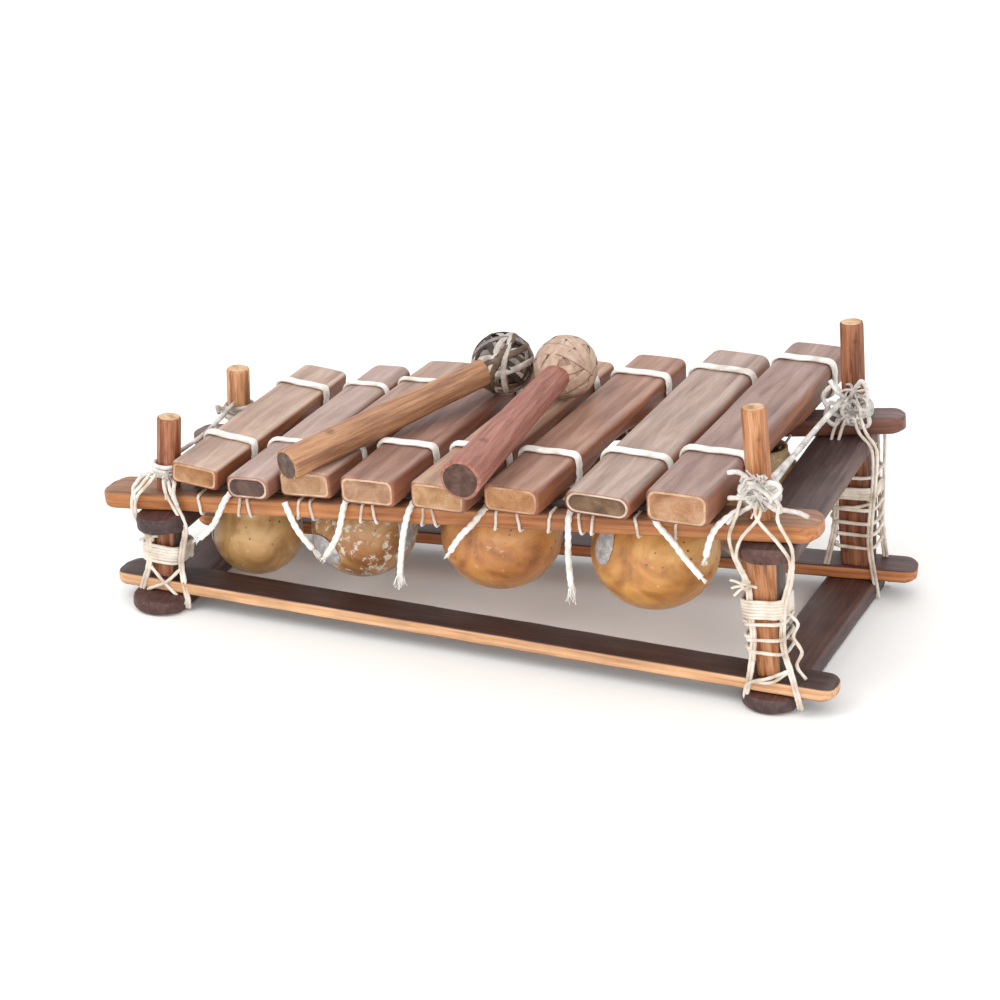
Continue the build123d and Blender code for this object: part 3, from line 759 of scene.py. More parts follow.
def makePost(node, look):
    place, local = postPlaceOf(node)
    seed = look["seed"]
    length = local[:, 2].max()
    radial = np.hypot(local[:, 0], local[:, 1])
    wide = local[radial > postShape["shaftOver"] * mm]
    low, high = local[radial > postShape["tenonOver"] * mm][:, 2].min(), wide[:, 2].max()
    lowPart, highPart = wide[wide[:, 2] < low + 6 * mm], wide[wide[:, 2] > high - 6 * mm]
    lowHalf = (np.abs(lowPart[:, 0]).max(), np.abs(lowPart[:, 1]).max())
    highHalf = (np.abs(highPart[:, 0]).max(), np.abs(highPart[:, 1]).max())
    pegRadius = postShape["pegRadius"] * mm
    loops = []
    for row in range(postShape["rows"] + 1):
        share = row / postShape["rows"]
        z = low + (high - low) * share
        halfX = lowHalf[0] + (highHalf[0] - lowHalf[0]) * share
        halfY = lowHalf[1] + (highHalf[1] - lowHalf[1]) * share
        loop = []
        for x, y in roundedSection(halfX, halfY, postShape["corner"] * mm, 6, 5):
            angle = math.atan2(y, x)
            rib = waverRound(seed, angle, 5, z * 5) * 0.9 * mm
            fibre = waverRound(seed + 3, angle, 14, z * 14) * 0.5 * mm
            pull = 1 + (min(0.0, rib - 0.3 * mm) + fibre * 0.6 - 0.3 * mm) / halfX
            loop.append(Vector((x * pull, y * pull, z)))
        loops.append(loop)
    count = len(loops[0])
    pegStations = [(high + 0.5 * mm, 1.0)] + [(high + (length - high) * i / 16, 1.0) for i in range(1, 16)]
    pegStations += [(length - 1.2 * mm, 1.0), (length - 0.5 * mm, 0.96), (length, 0.86)]
    for z, shrink in pegStations:
        loop = []
        for i in range(count):
            x, y = loops[0][i][0], loops[0][i][1]
            angle = math.atan2(y, x)
            facet = waverRound(seed + 6, angle, 2.2, z * 8) * 0.9 * mm
            fibre = waverRound(seed + 8, angle, 9, z * 12) * 0.35 * mm
            r = (pegRadius + min(0.0, facet) * 0.9 + fibre - 0.15 * mm) * shrink
            loop.append(Vector((r * math.cos(angle), r * math.sin(angle), z)))
        loops.append(loop)
    branch = rivenBranch("riven_" + node, {"colours": look["colours"], "streakWidth": 3.2, "streakLength": 45,
                                           "knots": 55, "paintedShadeFrom": look["paintedShadeFrom"], "paintedShadeTop": high})
    end = sawnEndGrain("sawn_end_" + node, 6, 0.9, ("#a07650", "#c9a27b", "#dcbd9b"))
    addMesh(node + "_wood", loftLoops(loops, capMaterial=1), "root", [branch, end], place, node)
    return place, low, high, lowHalf, highHalf, length


postLies = {node: makePost(node, look) for node, look in postLooks.items()}
print("posts made")


# ---- gourds ----
gourdLooks = {
    "gourd_front_1": {"colours": ("#8c643c", "#ae8451", "#cba068", "#baa46f"), "pale": "#c6ad78", "paleFrom": 0.62},
    "gourd_front_2": {"colours": ("#7d5030", "#a5713f", "#b98d5b", "#c9aa80"), "pale": "#d9cbb8", "paleFrom": 0.52},
    "gourd_front_3": {"colours": ("#8a5732", "#b87941", "#cd9051", "#d9a368"), "pale": "#cfa273", "paleFrom": 0.62},
    "gourd_front_4": {"colours": ("#956232", "#be8243", "#d39b54", "#deae6c"), "pale": "#dbb377", "paleFrom": 0.66},
    # back gourds 1 to 3: their darker colours are painted shade of their place in shadow behind the front gourds
    "gourd_back_1": {"colours": ("#5d3d22", "#7d5730", "#94703f", "#a5834f"), "pale": "#b0966a", "paleFrom": 0.64},
    "gourd_back_2": {"colours": ("#5a3920", "#7a522e", "#916b3d", "#a37f4e"), "pale": "#ad9066", "paleFrom": 0.64},
    "gourd_back_3": {"colours": ("#543420", "#71492c", "#87603a", "#98764a"), "pale": "#a58860", "paleFrom": 0.64},
    "gourd_back_4": {"colours": ("#7d5f3f", "#a08259", "#b99b6e", "#c7ad82"), "pale": "#cdb48d", "paleFrom": 0.6},
}
gourdShape = {"wall": 2.6, "lump": 0.7, "turns": 64, "steps": 34}


def makeGourd(node, look, seed):
    points = nodePoints(node)
    low, high = points.min(0), points.max(0)
    centre = (low + high) / 2
    radial = np.hypot(points[:, 0] - centre[0], points[:, 1] - centre[1])
    radius = radial.max()
    bellyZ = points[radial > radius * 0.995][:, 2].mean()
    halfHeight = bellyZ - low[2]
    neck = radial[points[:, 2] > high[2] - 0.2 * mm].max()
    place = Matrix.Translation((centre[0], centre[1], bellyZ))
    top = high[2] - bellyZ
    outline = []
    for step in range(gourdShape["steps"]):
        a = math.radians(-90 + 130 * step / (gourdShape["steps"] - 1))
        outline.append((radius * math.cos(a), halfHeight * math.sin(a)))
    shoulder = outline[-1]
    for step in range(1, 7):
        t = step / 6
        ease = t * t * (3 - 2 * t)
        inward = min(1.0, ease * 1.05)
        outline.append((shoulder[0] + (neck - shoulder[0]) * inward, shoulder[1] + (top - shoulder[1]) * t))
    wall = gourdShape["wall"] * mm
    inner = [(max(r - wall, 0.05 * mm), z + (wall if i < 10 else wall * 0.3)) for i, (r, z) in enumerate(outline)]
    inner[-1] = (inner[-1][0], top - 0.2 * mm)
    profile = outline + [(outline[-1][0] - wall * 0.5, top)] + inner[::-1]
    vertices = []
    turns = gourdShape["turns"]
    for r, z in profile:
        for a in around(turns):
            push = waverRound(seed, a, 0.9 * r / radius, z * 16) * gourdShape["lump"]
            fine = waverRound(seed + 5, a, r * 60, z * 60) * 0.18
            grown = r * (1 + (push - 0.35) * mm / radius) + min(0.0, fine) * mm
            vertices.append(Vector((grown * math.cos(a), grown * math.sin(a), z)))
    faces = gridFaces(len(profile) - 1, turns)
    rind = gourdRind("calabash_" + node, look)
    addMesh(node + "_rind", (vertices, faces, [0] * len(faces)), "root", [rind], place, node)
    return place, radius, halfHeight


gourdLies = {node: makeGourd(node, look, seed) for seed, (node, look) in enumerate(gourdLooks.items(), 21)}

membraneLooks = {
    # gourd, turn about Z, height on the belly, half width and half height in degrees
    "gourd_front_4": [(232, 17, 13, 19)], "gourd_front_2": [(345, 6, 13, 24), (240, -14, 24, 20)],
    "gourd_front_1": [(200, 0, 16, 20)], "gourd_front_3": [(30, 12, 14, 18)],
    "gourd_back_1": [(90, 0, 20, 24)], "gourd_back_2": [(270, 0, 20, 24)],
    "gourd_back_3": [(60, 0, 18, 22)], "gourd_back_4": [(300, 5, 16, 22)],
}


def makeMembranes():
    vertices, faces = [], []
    for node, patches in membraneLooks.items():
        place, radius, halfHeight = gourdLies[node]
        for turn, rise, halfWide, halfTall in patches:
            base = len(vertices)
            rows, columns = 9, 24
            for row in range(rows + 1):
                for a in around(columns):
                    share = row / rows
                    edge = 1 + 0.10 * waverRound(turn, a, 1.5, 0)
                    yaw = math.radians(turn + halfWide * share * math.cos(a) * edge)
                    pitch = math.radians(rise + halfTall * share * math.sin(a) * edge)
                    puff = (0.75 - 0.55 * share ** 3) * mm + waver(turn + 3, yaw * 9, pitch * 9, 1) * 0.25 * mm
                    r, h = radius + puff, halfHeight + puff
                    vertices.append(place @ Vector((r * math.cos(yaw) * math.cos(pitch),
                                                    r * math.sin(yaw) * math.cos(pitch), h * math.sin(pitch))))
            faces += gridFaces(rows, columns, base, inward=True)
    skin = driedSkin("dried_membrane", ("#8d8b8e", "#b3afae", "#d5cfcb"))
    addMesh("gourd_membranes_skin", (vertices, faces, [0] * len(faces)), "root", [skin],
            node="gourd_membranes")


makeMembranes()
print("gourds made")


# ---- padding and strings on the rails ----
def nodeIslands(node):
    # the centres and spans of a node's separate solids, by flood over its faces
    mesh = frame["nodes"][node].data
    count = len(mesh.vertices)
    keys = {}
    owner = list(range(count))

    def find(i):
        while owner[i] != i:
            owner[i] = owner[owner[i]]
            i = owner[i]
        return i

    for i, vertex in enumerate(mesh.vertices):
        key = tuple(round(c * 1e5) for c in vertex.co)
        if key in keys:
            owner[find(i)] = find(keys[key])
        else:
            keys[key] = i
    for polygon in mesh.polygons:
        first = find(polygon.vertices[0])
        for i in polygon.vertices[1:]:
            owner[find(i)] = first
    groups = {}
    for i in range(count):
        groups.setdefault(find(i), []).append(mesh.vertices[i].co[:])
    return [np.array(points) for points in groups.values()]


padShape = {"step": 2.2, "sides": 14, "twistPerMm": 0.34, "flat": 0.92, "high": 1.05}
stringShape = {"radius": 1.05, "gap": 0.55, "corner": 1.6, "lean": 1.2}
tieShape = {"radius": 1.0, "droop": -1.0}


def thinTwine(path, radius, closed=False):
    return twistedTube(path, radius * mm, plies=2, pitch=5 * mm, depth=0.2, sides=8, closed=closed)


def makePads():
    for side in ("front", "back"):
        look = boardLooks[f"upper_rail_{side}"]
        place, half = lieOf(f"pad_{side}", look["up"], look["along"])
        loops = []
        steps = int(2 * half[1] / (padShape["step"] * mm))
        for i in range(steps + 1):
            y = -half[1] + 2 * half[1] * i / steps
            loop = []
            for a in around(padShape["sides"]):
                twist = 1 + 0.13 * math.cos(a * 2 - y / mm * padShape["twistPerMm"])
                twist += 0.12 * waver(4, y * 70, math.cos(a), math.sin(a))
                x = half[0] * padShape["flat"] * math.cos(a) * twist
                z = half[2] * padShape["high"] * math.sin(a) * min(1.0, twist)
                loop.append(Vector((x, y, z)))
            loops.append(loop)
        node = f"pad_{side}"
        piece = addMesh(node + "_cloth", loftLoops(loops), "root", [darkCloth], place, node)


def makeRailStrings():
    for side in ("front", "back"):
        place, half = boardLies[f"upper_rail_{side}"]
        inverse = place.inverted()
        tubes = []
        for number, points in enumerate(nodeIslands(f"rail_strings_{side}")):
            centre = inverse @ Vector((points.min(0) + points.max(0)) / 2)
            gap, path = stringShape["gap"] * mm, []
            section = roundedSection(half[0] + gap, half[2] + gap, stringShape["corner"] * mm, 4, 7)
            for index, (x, z) in enumerate(section):
                lean = (z / half[2]) * stringShape["lean"] * mm * (1 if number % 2 else -0.5)
                path.append(place @ Vector((x, centre.y + lean + waver(number, index * 0.2) * 0.8 * mm, z)))
            tubes.append(thinTwine(path, stringShape["radius"], closed=True))
        addTubes(f"rail_strings_{side}_twine", tubes, "root", cottonTwine, f"rail_strings_{side}")


def makeGourdTies():
    tubes = []
    for points in nodeIslands("gourd_ties"):
        low, high = Vector(points.min(0)), Vector(points.max(0))
        x, z = (low.x + high.x) / 2, (low.z + high.z) / 2
        droop = Vector((0, 0, tieShape["droop"] * mm))
        path = smoothPath([(x, low.y, z), Vector((x, (low.y + high.y) / 2, z)) + droop, (x, high.y, z)], 1.2 * mm)
        tubes.append(thinTwine(path, tieShape["radius"]))
    addTubes("gourd_ties_twine", tubes, "root", cottonTwine, "gourd_ties")


makePads()
makeRailStrings()
makeGourdTies()
print("padding, strings and ties made")


# ---- lashings ----
# points of the strands are (to the right, outwards, height above the floor), measured in mm from the post's axis
lashingLooks = {
    "front_right": {
        "bands": [(62.5, 6)], "turns": [(59, 0.3), (48, 0.2), (39, -0.5)],
        "strands": [
            [(-1, 14, 143), (-2, 21, 135), (-11, 20.5, 120), (-13, 19, 107), (-11.5, 17, 99), (-8, 12.5, 84),
             (-7.6, 11.3, 60), (-7.4, 11, 46), (-10.5, 13, 24), (-13.5, 15, 11), (-13.5, 14.5, 5)],
            [(10, 14, 143), (11, 21, 135), (21, 20.5, 120), (24, 18.5, 108), (21, 15, 93), (15, 10, 76),
             (12.2, 9.4, 58), (12, 9.4, 42), (16, 12, 30), (21.5, 15, 10), (22, 14.5, 5)],
        ],
        "singles": [
            [(-14, 15, 10), (-11, 15.6, 18), (3, 15.4, 24), (16.5, 14, 31)],
            [(15, 13, 29), (4, 14.8, 21), (-8, 15.6, 20)],
            [(14, 6, 68), (21, 5, 60), (17, 4, 50), (22, 4, 40), (18, 4, 30), (24, 5, 22)],
        ],
        "knot": (-9, 14, 84), "ends": [(-9, 1, -2), (-10, 2, 4), (8, 2, 1.5), (-7, 1, -7)],
        "fan": 7},
    "front_left": {
        "bands": [(32, 6)], "turns": [],
        "strands": [
            [(-5, 13, 97), (-9, 19, 90), (-15.7, 19, 81), (-17, 17, 69), (-13, 14.5, 58), (-8.3, 13.5, 49),
             (-7.8, 13, 31), (-12, 14, 13), (-13, 13.5, 2.4)],
            [(4, 12, 93), (9, 18.5, 87), (18.5, 17.5, 69), (20.5, 16.5, 59), (17, 13, 46), (15.8, 12, 31),
             (21, 13.5, 10), (21.5, 13, 2.4)],
        ],
        "singles": [[(-6, 14, 29), (6, 15.2, 18), (20, 14.6, 6)], [(16, 13, 31), (6, 15, 20), (-8, 14.8, 12)]],
        "knot": (-8, 12.6, 49), "ends": [(-7, 1, -2), (7, 1.5, 3)], "fan": 2},
    "back_right": {
        "bands": [(71, 4)], "turns": [(87, 0.3), (64, -0.3), (54, -0.4), (45.5, -0.4), (36, -0.5)],
        "strands": [
            [(6, -14, 131), (11, -18, 122), (18, -16, 110), (16.5, -13, 86), (13.5, -12.5, 60), (12, -12.5, 38),
             (16, -14, 9), (16.5, -13.5, 2.4)],
            [(-5, -14, 128), (-9, -18, 112), (-12, -15, 88), (-11, -12.5, 74), (-12, -12.5, 50), (-19, -13, 20),
             (-20, -12.5, 12)],
            [(9, 14, 128), (13, 18, 112), (14, 13, 80), (13.5, 12.5, 50), (16, 13.5, 9), (16.5, 13, 2.4)],
            [(-9, 14, 128), (-12, 18, 110), (-12, 13, 80), (-12.5, 12.5, 50), (-15, 13.5, 9), (-15.5, 13, 2.4)],
        ],
        "singles": [[(14, -12.5, 78), (2, -13.6, 74), (-11, -13, 70)], [(-11, -13, 79), (3, -14, 76), (15, -12.5, 71)],
                    [(14, -12.5, 70), (4, -14, 66), (-10, -13, 63)]],
        "knot": (-13, -10, 62), "ends": [(-6, -1, -4), (-7, -1, 3)], "fan": 2.5},
    "back_left": {
        "bands": [(38, 5)], "turns": [(30, 0.3)],
        "strands": [
            [(-8, 12, 96), (-12, 17, 84), (-13, 16, 72), (-9.5, 12.5, 52), (-10, 12.5, 30), (-12, 13.5, 10),
             (-12.5, 13, 2.4)],
            [(8, 12, 96), (12, 17, 84), (13, 16, 72), (10, 12.5, 52), (10.5, 12.5, 30), (13, 13.5, 10),
             (13.5, 13, 2.4)],
            [(9, -12, 90), (12, -15, 72), (10.5, -12.5, 46), (12, -13, 20), (13, -13, 10)],
        ],
        "singles": [], "knot": (11, -11, 47), "ends": [(5, -1, -3), (4, -2, 3)], "fan": 1.6},
}
lashingShape = {"twine": 1.22, "pitch": 5.4, "pair": 1.05, "bandGrow": 3.1, "turnGrow": 3.2}


def postRing(lie, height, turns, grow, seed, slope=0.0, phase=0.0):
    # turns of twine round a post's shaft, as one open helix; height above the floor
    place, low, high, lowHalf, highHalf, _ = lie
    base = height * mm - place.translation.z
    section = roundedSection(1, 1, 0.5, 5, 3)
    path = []
    total = int(len(section) * turns)
    for i in range(total + 1):
        sx, sy = section[(i + int(phase * len(section))) % len(section)]
        z = base + (i / len(section)) * 2.15 * mm + waver(seed, i * 0.11) * 0.35 * mm
        share = min(1.0, max(0.0, (z - low) / (high - low)))
        halfX = lowHalf[0] + (highHalf[0] - lowHalf[0]) * share + grow
        halfY = lowHalf[1] + (highHalf[1] - lowHalf[1]) * share + grow
        path.append(place @ Vector((sx * halfX, sy * halfY, z + sx * slope * mm * 1.6)))
    return path


def axisPoint(lie, height):
    # the point of a post's axis at a height above the floor, in mm
    place = lie[0]
    foot, up = place.translation, place.to_3x3().col[2]
    return (foot + up * ((height * mm - foot.z) / up.z)) / mm


def strandLine(lie, outward, route, offsets, seed):
    # a strand through points given beside the post; pairs are laid with opposite offsets
    moved = []
    for i, (right, out, height) in enumerate(route):
        spot = axisPoint(lie, height) + Vector((right + offsets[min(i, len(offsets) - 1)], outward * out, 0))
        moved.append((spot + Vector((0, 0, waver(seed, i * 1.7) * 0.5))) * mm)
    return smoothPath(moved, 1.8 * mm)


def makeLashing(corner, look, seed):
    lie = postLies[f"post_{corner}"]
    outward = -1 if "front" in corner else 1
    tubes = []

    def lay(path, share=1.0, closed=False):
        tubes.append(twistedTube(path, lashingShape["twine"] * share * mm, plies=2, pitch=lashingShape["pitch"] * mm,
                                 depth=0.22, sides=9, closed=closed))

    for height, turns in look["bands"]:
        lay(postRing(lie, height, turns, lashingShape["bandGrow"] * mm, seed))
    for index, (height, slope) in enumerate(look["turns"]):
        lay(postRing(lie, height, 1.06, lashingShape["turnGrow"] * mm, seed + index + 2, slope, 0.6))
    for number, route in enumerate(look["strands"]):
        for pair in (-1, 1):
            fan = look["fan"]
            offsets = [pair * wide for wide in (fan, fan, (fan + lashingShape["pair"]) / 2, lashingShape["pair"])]
            lay(strandLine(lie, outward, route, offsets, seed + number * 3 + pair))
    for number, route in enumerate(look["singles"]):
        lay(strandLine(lie, outward, route, [0], seed + 31 + number))
    # a small tight knot with short cut ends
    right, out, height = look["knot"]
    knot = axisPoint(lie, height) + Vector((right, outward * out, 0))
    for turn in range(3):
        ring = []
        for a in around(10):
            ring.append((knot + Vector((math.cos(a) * 2.4, math.sin(a) * 1.4 * (turn - 1),
                                        math.sin(a) * 2.4 + turn * 0.9))) * mm)
        lay(smoothPath(ring, 1.2 * mm, closed=True), closed=True)
    for x, y, z in look["ends"]:
        way = Vector((x, outward * y, z))
        lay(smoothPath([knot * mm, (knot + way * 0.5 + Vector((0, 0, 0.8))) * mm, (knot + way) * mm], 1.2 * mm), 0.8)
    return addTubes(f"lashing_{corner}_twine", tubes, "root", cottonTwine, f"lashing_{corner}")


for lashingSeed, (cornerName, lashingLook) in enumerate(lashingLooks.items(), 60):
    makeLashing(cornerName, lashingLook, lashingSeed)
print("lashings made")


# ---- white cord at the pegs ----
def pegPoint(corner, height, right=0.0, back=0.0):
    # a point beside a peg, at a height above the floor, in mm
    return (axisPoint(postLies[f"post_{corner}"], height) + Vector((right, back, 0))) * mm


def pegWraps(corner, low, turns, radius, thickness, seed):
    path = []
    total = int(turns * 14)
    for i in range(total + 1):
        a = 2 * math.pi * i / 14
        swell = radius + waver(seed, i * 0.3) * 0.9
        lift = low + i / 14 * thickness * 1.5 + waver(seed + 2, i * 0.25) * 1.4
        path.append(pegPoint(corner, lift, math.cos(a) * swell, math.sin(a) * swell))
    return path


# wraps: height above the base, turns, radius; bows: (right, back, height above the base)
pegKnots = {
    "front_right": {
        "base": 136, "wraps": [(1, 6, 10.4), (4, 3.4, 12.6)],
        "bows": [
            [(-4, -11, 6), (-8, -14, 13), (-2, -15, 19), (6, -15, 17), (4, -13, 8)],
            [(2, -12, 8), (13, -14, 11), (18, -12, 17), (12, -13, 21), (5, -13, 15)],
            [(0, -13, 15), (10, -16, 7), (18, -14, 3), (12, -13, 13), (2, -13, 16)],
            [(6, -12, 1), (12, -15, 10), (3, -16, 18), (-5, -14, 11), (1, -13, 2)],
            [(-2, -12, 20), (-8, -14, 25), (-15, -15, 24)],
            [(-2, -11, 8), (-8, -14, 8), (-16, -15, 7)],
            [(-1, -12, 3), (-7, -16, 0), (-12, -19, -4), (-16, -20, -8)],
            [(8, -12, 8), (18, -13, 4), (28, -10, 2), (34, -8, -1)],
        ],
        "thick": 1.6, "tufts": 40, "rise": 22},
    "back_right": {
        "base": 121, "wraps": [(1, 6, 10.4), (6, 3.4, 12.2)],
        "bows": [
            [(-3, -11, 6), (-12, -14, 12), (-17, -14, 22), (-9, -13, 30), (-2, -12, 18)],
            [(-2, -11, 12), (3, -14, 26), (10, -13, 36), (13, -12, 24), (5, -12, 10)],
            [(-5, -12, 10), (-9, -15, 3), (-15, -16, 8), (-12, -14, 18), (-4, -12, 14)],
            [(2, -12, 14), (12, -14, 16), (14, -13, 6), (6, -12, 2)],
            [(0, -13, 22), (-7, -15, 27), (-12, -14, 34)],
            [(0, -12, 4), (-4, -15, 14), (4, -15, 22), (9, -14, 14), (3, -12, 5)],
        ],
        "thick": 1.6, "tufts": 40, "rise": 30},
    "front_left": {
        "base": 91, "wraps": [(1, 4.4, 9.8)],
        "bows": [
            [(-8, -6, 3), (-13, -11, 2), (-17, -18, -4), (-15, -20, -12)],
            [(-6, -9, 5), (-12, -14, 4), (-16, -19, -2)],
            [(7, -8, 4), (11, -14, 2), (13, -19, -4), (17, -21, -12)],
        ],
        "thick": 1.5, "tufts": 6, "rise": 8},
    "back_left": {
        "base": 91, "wraps": [(1, 4, 10.0), (3, 1.6, 11.4)],
        "bows": [
            [(-8, -6, 5), (-12, -10, 10), (-9, -13, 6)],
            [(-7, -7, 4), (-12, -12, -1), (-10, -16, -6)],
        ],
        "thick": 1.5, "tufts": 5, "rise": 8},
}


def makePegKnots():
    for seed, (corner, look) in enumerate(pegKnots.items(), 90):
        base = look["base"]
        paths = [pegWraps(corner, base + above, turns, radius, look["thick"], seed)
                 for above, turns, radius in look["wraps"]]
        paths += [smoothPath([pegPoint(corner, base + z, x, y) for x, y, z in bow], 1.6 * mm) for bow in look["bows"]]
        tubes = [laidCord(path, look["thick"]) for path in paths]
        chance = random.Random(seed)
        for _ in range(look["tufts"]):
            heart = pegPoint(corner, base + look["rise"] * chance.uniform(0.2, 1), 3, -10)
            way = Vector((chance.uniform(-1, 1), chance.uniform(-0.9, -0.1), chance.uniform(-0.8, 0.8))).normalized()
            curl = Vector([chance.uniform(-1, 1) for _ in range(3)]) * 2.5 * mm
            size = chance.uniform(8, 15) * mm
            path = smoothPath([heart, heart + way * size * 0.5 + curl, heart + way * size], 1.3 * mm)
            tubes.append(twistedTube(path, chance.uniform(0.6, 1.3) * mm, plies=2, pitch=6 * mm, sides=7, taper=0.6))
        material = cottonGrey if corner == "back_left" else cottonWorn
        addTubes(f"peg_knot_{corner}_cotton", tubes, "root", material)


sideCordLooks = {
    "side_cord_right": {
        "material": cottonWorn, "radius": 1.9,
        "strands": [
            [(195.5, -99.5, 134.0), (192.5, -60, 130.0), (191.5, 0.0, 132.0), (194.5, 45, 136.0), (198.5, 76.5, 140.0)],
            [(193.0, -99.0, 137.0), (190.5, -52, 133.5), (190.5, 8.0, 130.0), (192.5, 48, 133.0), (196.0, 77.5, 136.0)],
        ]},
    "side_cord_left": {
        "material": cottonGrey, "radius": 1.4,
        "strands": [
            [(-213.6, -90, 104.5), (-211.8, -62, 103.6), (-213.4, -34, 103.0), (-215.2, 4.5, 105.5)],
            [(-214.8, -89, 102.5), (-213.6, -62, 102.4), (-211.6, -34, 104.4), (-216.8, 4.5, 103.0)],
        ]},
}


def makeSideCords():
    for name, look in sideCordLooks.items():
        tubes = []
        for strand in look["strands"]:
            path = smoothPath([(Vector(p) + toOrigin) * mm for p in strand], 2 * mm)
            tubes.append(laidCord(path, look["radius"]))
        addTubes(name + "_cotton", tubes, "root", look["material"], name)


makePegKnots()
makeSideCords()
print("peg knots and side cords made")


# ---- mallets ----
malletLooks = {
    "mallet_left": {
        "wood": ("#714f3e", "#966a4d", "#b38460", "#ce9e76"), "end": ("#3f2f29", "#5c4a42", "#6f5c52"),
        "slotWood": "mallet_wood_brown", "slotHead": "mallet_winding_dark", "seed": 31, "bands": 26, "wide": 4.4,
        "thick": 1.3, "shades": [("#1e1614", "#372c27", "#51453d"), ("#61564e", "#7d7168", "#968a80"),
                                 ("#110a09", "#251b19", "#382d29"), ("#8c7f76", "#b6aca4", "#cec6bf"),
                                 ("#3d2c20", "#584431", "#6f5a44")]},
    "mallet_right": {
        "wood": ("#6d3a2f", "#8d5547", "#a36a5b", "#b88374"), "end": ("#392219", "#52382d", "#66493c"),
        "slotWood": "mallet_wood_red", "slotHead": "mallet_winding_tan", "seed": 47, "bands": 18, "wide": 8.0,
        "thick": 0.9, "shades": [("#9d7e6b", "#b49885", "#c4ac99"), ("#a88973", "#bb9f8a", "#c8b19e"),
                                 ("#90705e", "#a88874", "#ba9d88")]},
}


def makeHandle(name, look):
    node = f"{name}_handle"
    points = nodePoints(node)
    headLow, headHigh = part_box(f"{name}_head")
    head = (headLow + headHigh) / 2
    far = points[np.argsort(np.linalg.norm(points - np.array(head), axis=1))[-40:]]
    butt = Vector((far.min(0) + far.max(0)) / 2)
    up = (head - butt).normalized()
    reach = (points - np.array(butt)) @ np.array(up)
    start, end = reach.min(), reach.max()
    across = up.orthogonal().normalized()
    place = placeFrom(across, up.cross(across), up, butt + up * start)
    centred = points - np.array(butt)
    radial = np.linalg.norm(centred - np.outer(reach, np.array(up)), axis=1)
    lowRadius = radial[reach < start + 8 * mm].max()
    highRadius = radial[reach > end - 8 * mm].max()
    length = end - start
    loops = []
    stations = [(0, 0.84), (0.25, 0.93), (0.8, 0.985), (1.8, 1.0)]
    stations = [(z * mm, s) for z, s in stations] + [(3 * mm + (length - 4 * mm) * i / 60, 1.0) for i in range(61)]
    seed = look["seed"]
    for z, shrink in stations:
        base = (lowRadius + (highRadius - lowRadius) * z / length)
        bend = Vector((math.sin(z * 16 + seed) * 0.35 * mm, math.cos(z * 12 + seed) * 0.35 * mm, 0))
        loop = []
        for a in around(28):
            facet = waverRound(seed, a, 1.6, z * 22) * 0.7 * mm
            fibre = waverRound(seed + 2, a, 8, z * 25) * 0.18 * mm
            r = (base - 0.35 * mm + min(0.25 * mm, facet) + fibre) * shrink
            loop.append(Vector((r * math.cos(a), r * math.sin(a), z)) + bend)
        loops.append(loop)
    # the handles get no painted shade on a side: its threshold is set out of reach
    wood = rivenBranch("peeled_" + name, {"colours": look["wood"], "streakWidth": 3.5, "streakLength": 55,
                                          "knots": 30, "paintedShadeFrom": 9, "paintedShadeTop": 0})
    cut = sawnEndGrain("cut_end_" + name, 6, 0.9, look["end"])
    addMesh(node + "_wood", loftLoops(loops, capMaterial=1), name, [wood, cut], place, node)
    return head, up


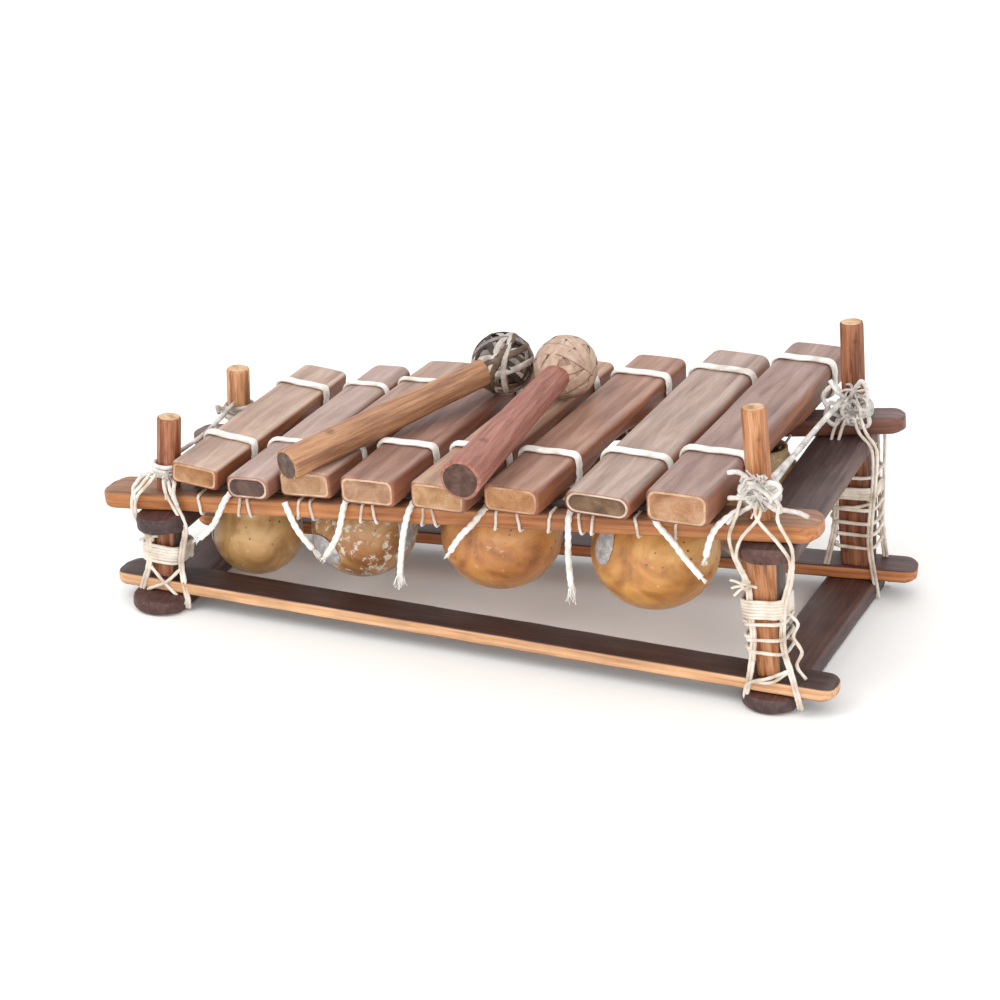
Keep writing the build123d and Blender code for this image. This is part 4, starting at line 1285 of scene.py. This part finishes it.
def makeHead(name, look, head, up):
    low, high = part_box(f"{name}_head")
    radius = (high.x - low.x) / 2
    chance = random.Random(look["seed"])
    materials = [cutRubber(f"cut_rubber_{name}_{i}", shade)
                 for i, shade in enumerate(look["shades"])]
    place = up.to_track_quat("Z", "Y").to_matrix().to_4x4()
    place.translation = head
    core = radius - 2.2 * look["thick"] * mm
    vertices = []
    rows, columns = 24, 36
    for row in range(rows + 1):
        v = math.pi * row / rows
        for a in around(columns):
            r = core * (1 + 0.02 * waver(look["seed"], math.sin(v) * math.cos(a) * 2, math.sin(v) * math.sin(a) * 2,
                                         math.cos(v) * 2))
            vertices.append(Vector((r * math.sin(v) * math.cos(a), r * math.sin(v) * math.sin(a), r * math.cos(v))))
    faces = gridFaces(rows, columns, inward=True)
    faceMaterials = [0] * len(faces)
    # bands wound round the ball, each one a flattened closed loop, later ones on top
    for number in range(look["bands"]):
        tilt = chance.uniform(18, 90)
        spin = chance.uniform(0, 360)
        offset = chance.uniform(-0.42, 0.42)
        axis = Vector((math.sin(math.radians(tilt)) * math.cos(math.radians(spin)),
                       math.sin(math.radians(tilt)) * math.sin(math.radians(spin)), math.cos(math.radians(tilt))))
        side = axis.orthogonal().normalized()
        other = axis.cross(side)
        wide = look["wide"] * mm * chance.uniform(0.7, 1.2) / 2
        thick = look["thick"] * mm
        lift = core + thick * (0.55 + 1.15 * number / look["bands"])
        base = len(vertices)
        steps, ribs = 56, 8
        shade = chance.randrange(len(materials))
        for step in range(steps):
            t = 2 * math.pi * step / steps
            wander = offset + 0.10 * math.sin(2 * t + spin) + 0.05 * waverRound(number, t, 1, 2)
            ray = (side * math.cos(t) + other * math.sin(t)) * math.sqrt(1 - wander * wander) + axis * wander
            lean = (axis - ray * axis.dot(ray)).normalized()
            roll = 0.35 * waverRound(number + 7, t, 2, 1)
            lean = (lean * math.cos(roll) + ray * math.sin(roll) * 0.5).normalized()
            for a in around(ribs):
                flat = lean * math.cos(a) * wide + ray * (math.sin(a) * thick * 0.5)
                point = ray * lift + flat
                reachOut = point.length
                limit = radius - 0.1 * mm
                if reachOut > limit:
                    point *= limit / reachOut
                vertices.append(point)
        for step in range(steps):
            for k in range(ribs):
                j, nextStep = (k + 1) % ribs, (step + 1) % steps
                faces.append((base + step * ribs + k, base + step * ribs + j, base + nextStep * ribs + j,
                              base + nextStep * ribs + k))
                faceMaterials.append(shade)
    skin = vertices, faces, faceMaterials
    addMesh(f"{name}_head_winding", skin, name, materials, place, f"{name}_head")


for malletName, malletLook in malletLooks.items():
    headCentre, handleUp = makeHandle(malletName, malletLook)
    makeHead(malletName, malletLook, headCentre, handleUp)
print("mallets made")


# ---- stage ----
def makeStage():
    settings = {"floor": "#fbfaf8", "floorHalf": 6.0, "world": "#ffffff", "worldStrength": 1.0}
    mesh = bpy.data.meshes.new("floor")
    far = settings["floorHalf"]
    mesh.from_pydata([(-far, -far, 0), (far, -far, 0), (far, far, 0), (-far, far, 0)], [], [(0, 1, 2, 3)])
    floor = bpy.data.objects.new("floor", mesh)
    material, _, shader = startMaterial("matt_paper", 0.9)
    shader.inputs["Base Color"].default_value = linearColour(settings["floor"])
    mesh.materials.append(material)
    bpy.context.scene.collection.objects.link(floor)
    world = bpy.data.worlds.new("studio")
    world.use_nodes = True
    background = world.node_tree.nodes["Background"]
    background.inputs["Color"].default_value = linearColour(settings["world"])
    background.inputs["Strength"].default_value = settings["worldStrength"]
    bpy.context.scene.world = world
    bpy.context.scene.view_settings.view_transform = "Standard"
    for name, place, size, power in (("key", (-0.9, -1.2, 1.7), 1.4, 18), ("fill", (1.6, -1.5, 1.1), 1.6, 12),
                                     ("front", (0.3, -2.0, 0.35), 1.2, 8), ("rear", (0.2, 1.6, 1.6), 1.4, 6)):
        light = bpy.data.lights.new(name, "AREA")
        light.size = size
        light.energy = power
        lamp = bpy.data.objects.new(name, light)
        lamp.location = place
        lamp.rotation_euler = (Vector(place) - Vector((0, 0, 0.08))).to_track_quat("Z", "Y").to_euler()
        bpy.context.scene.collection.objects.link(lamp)


makeStage()
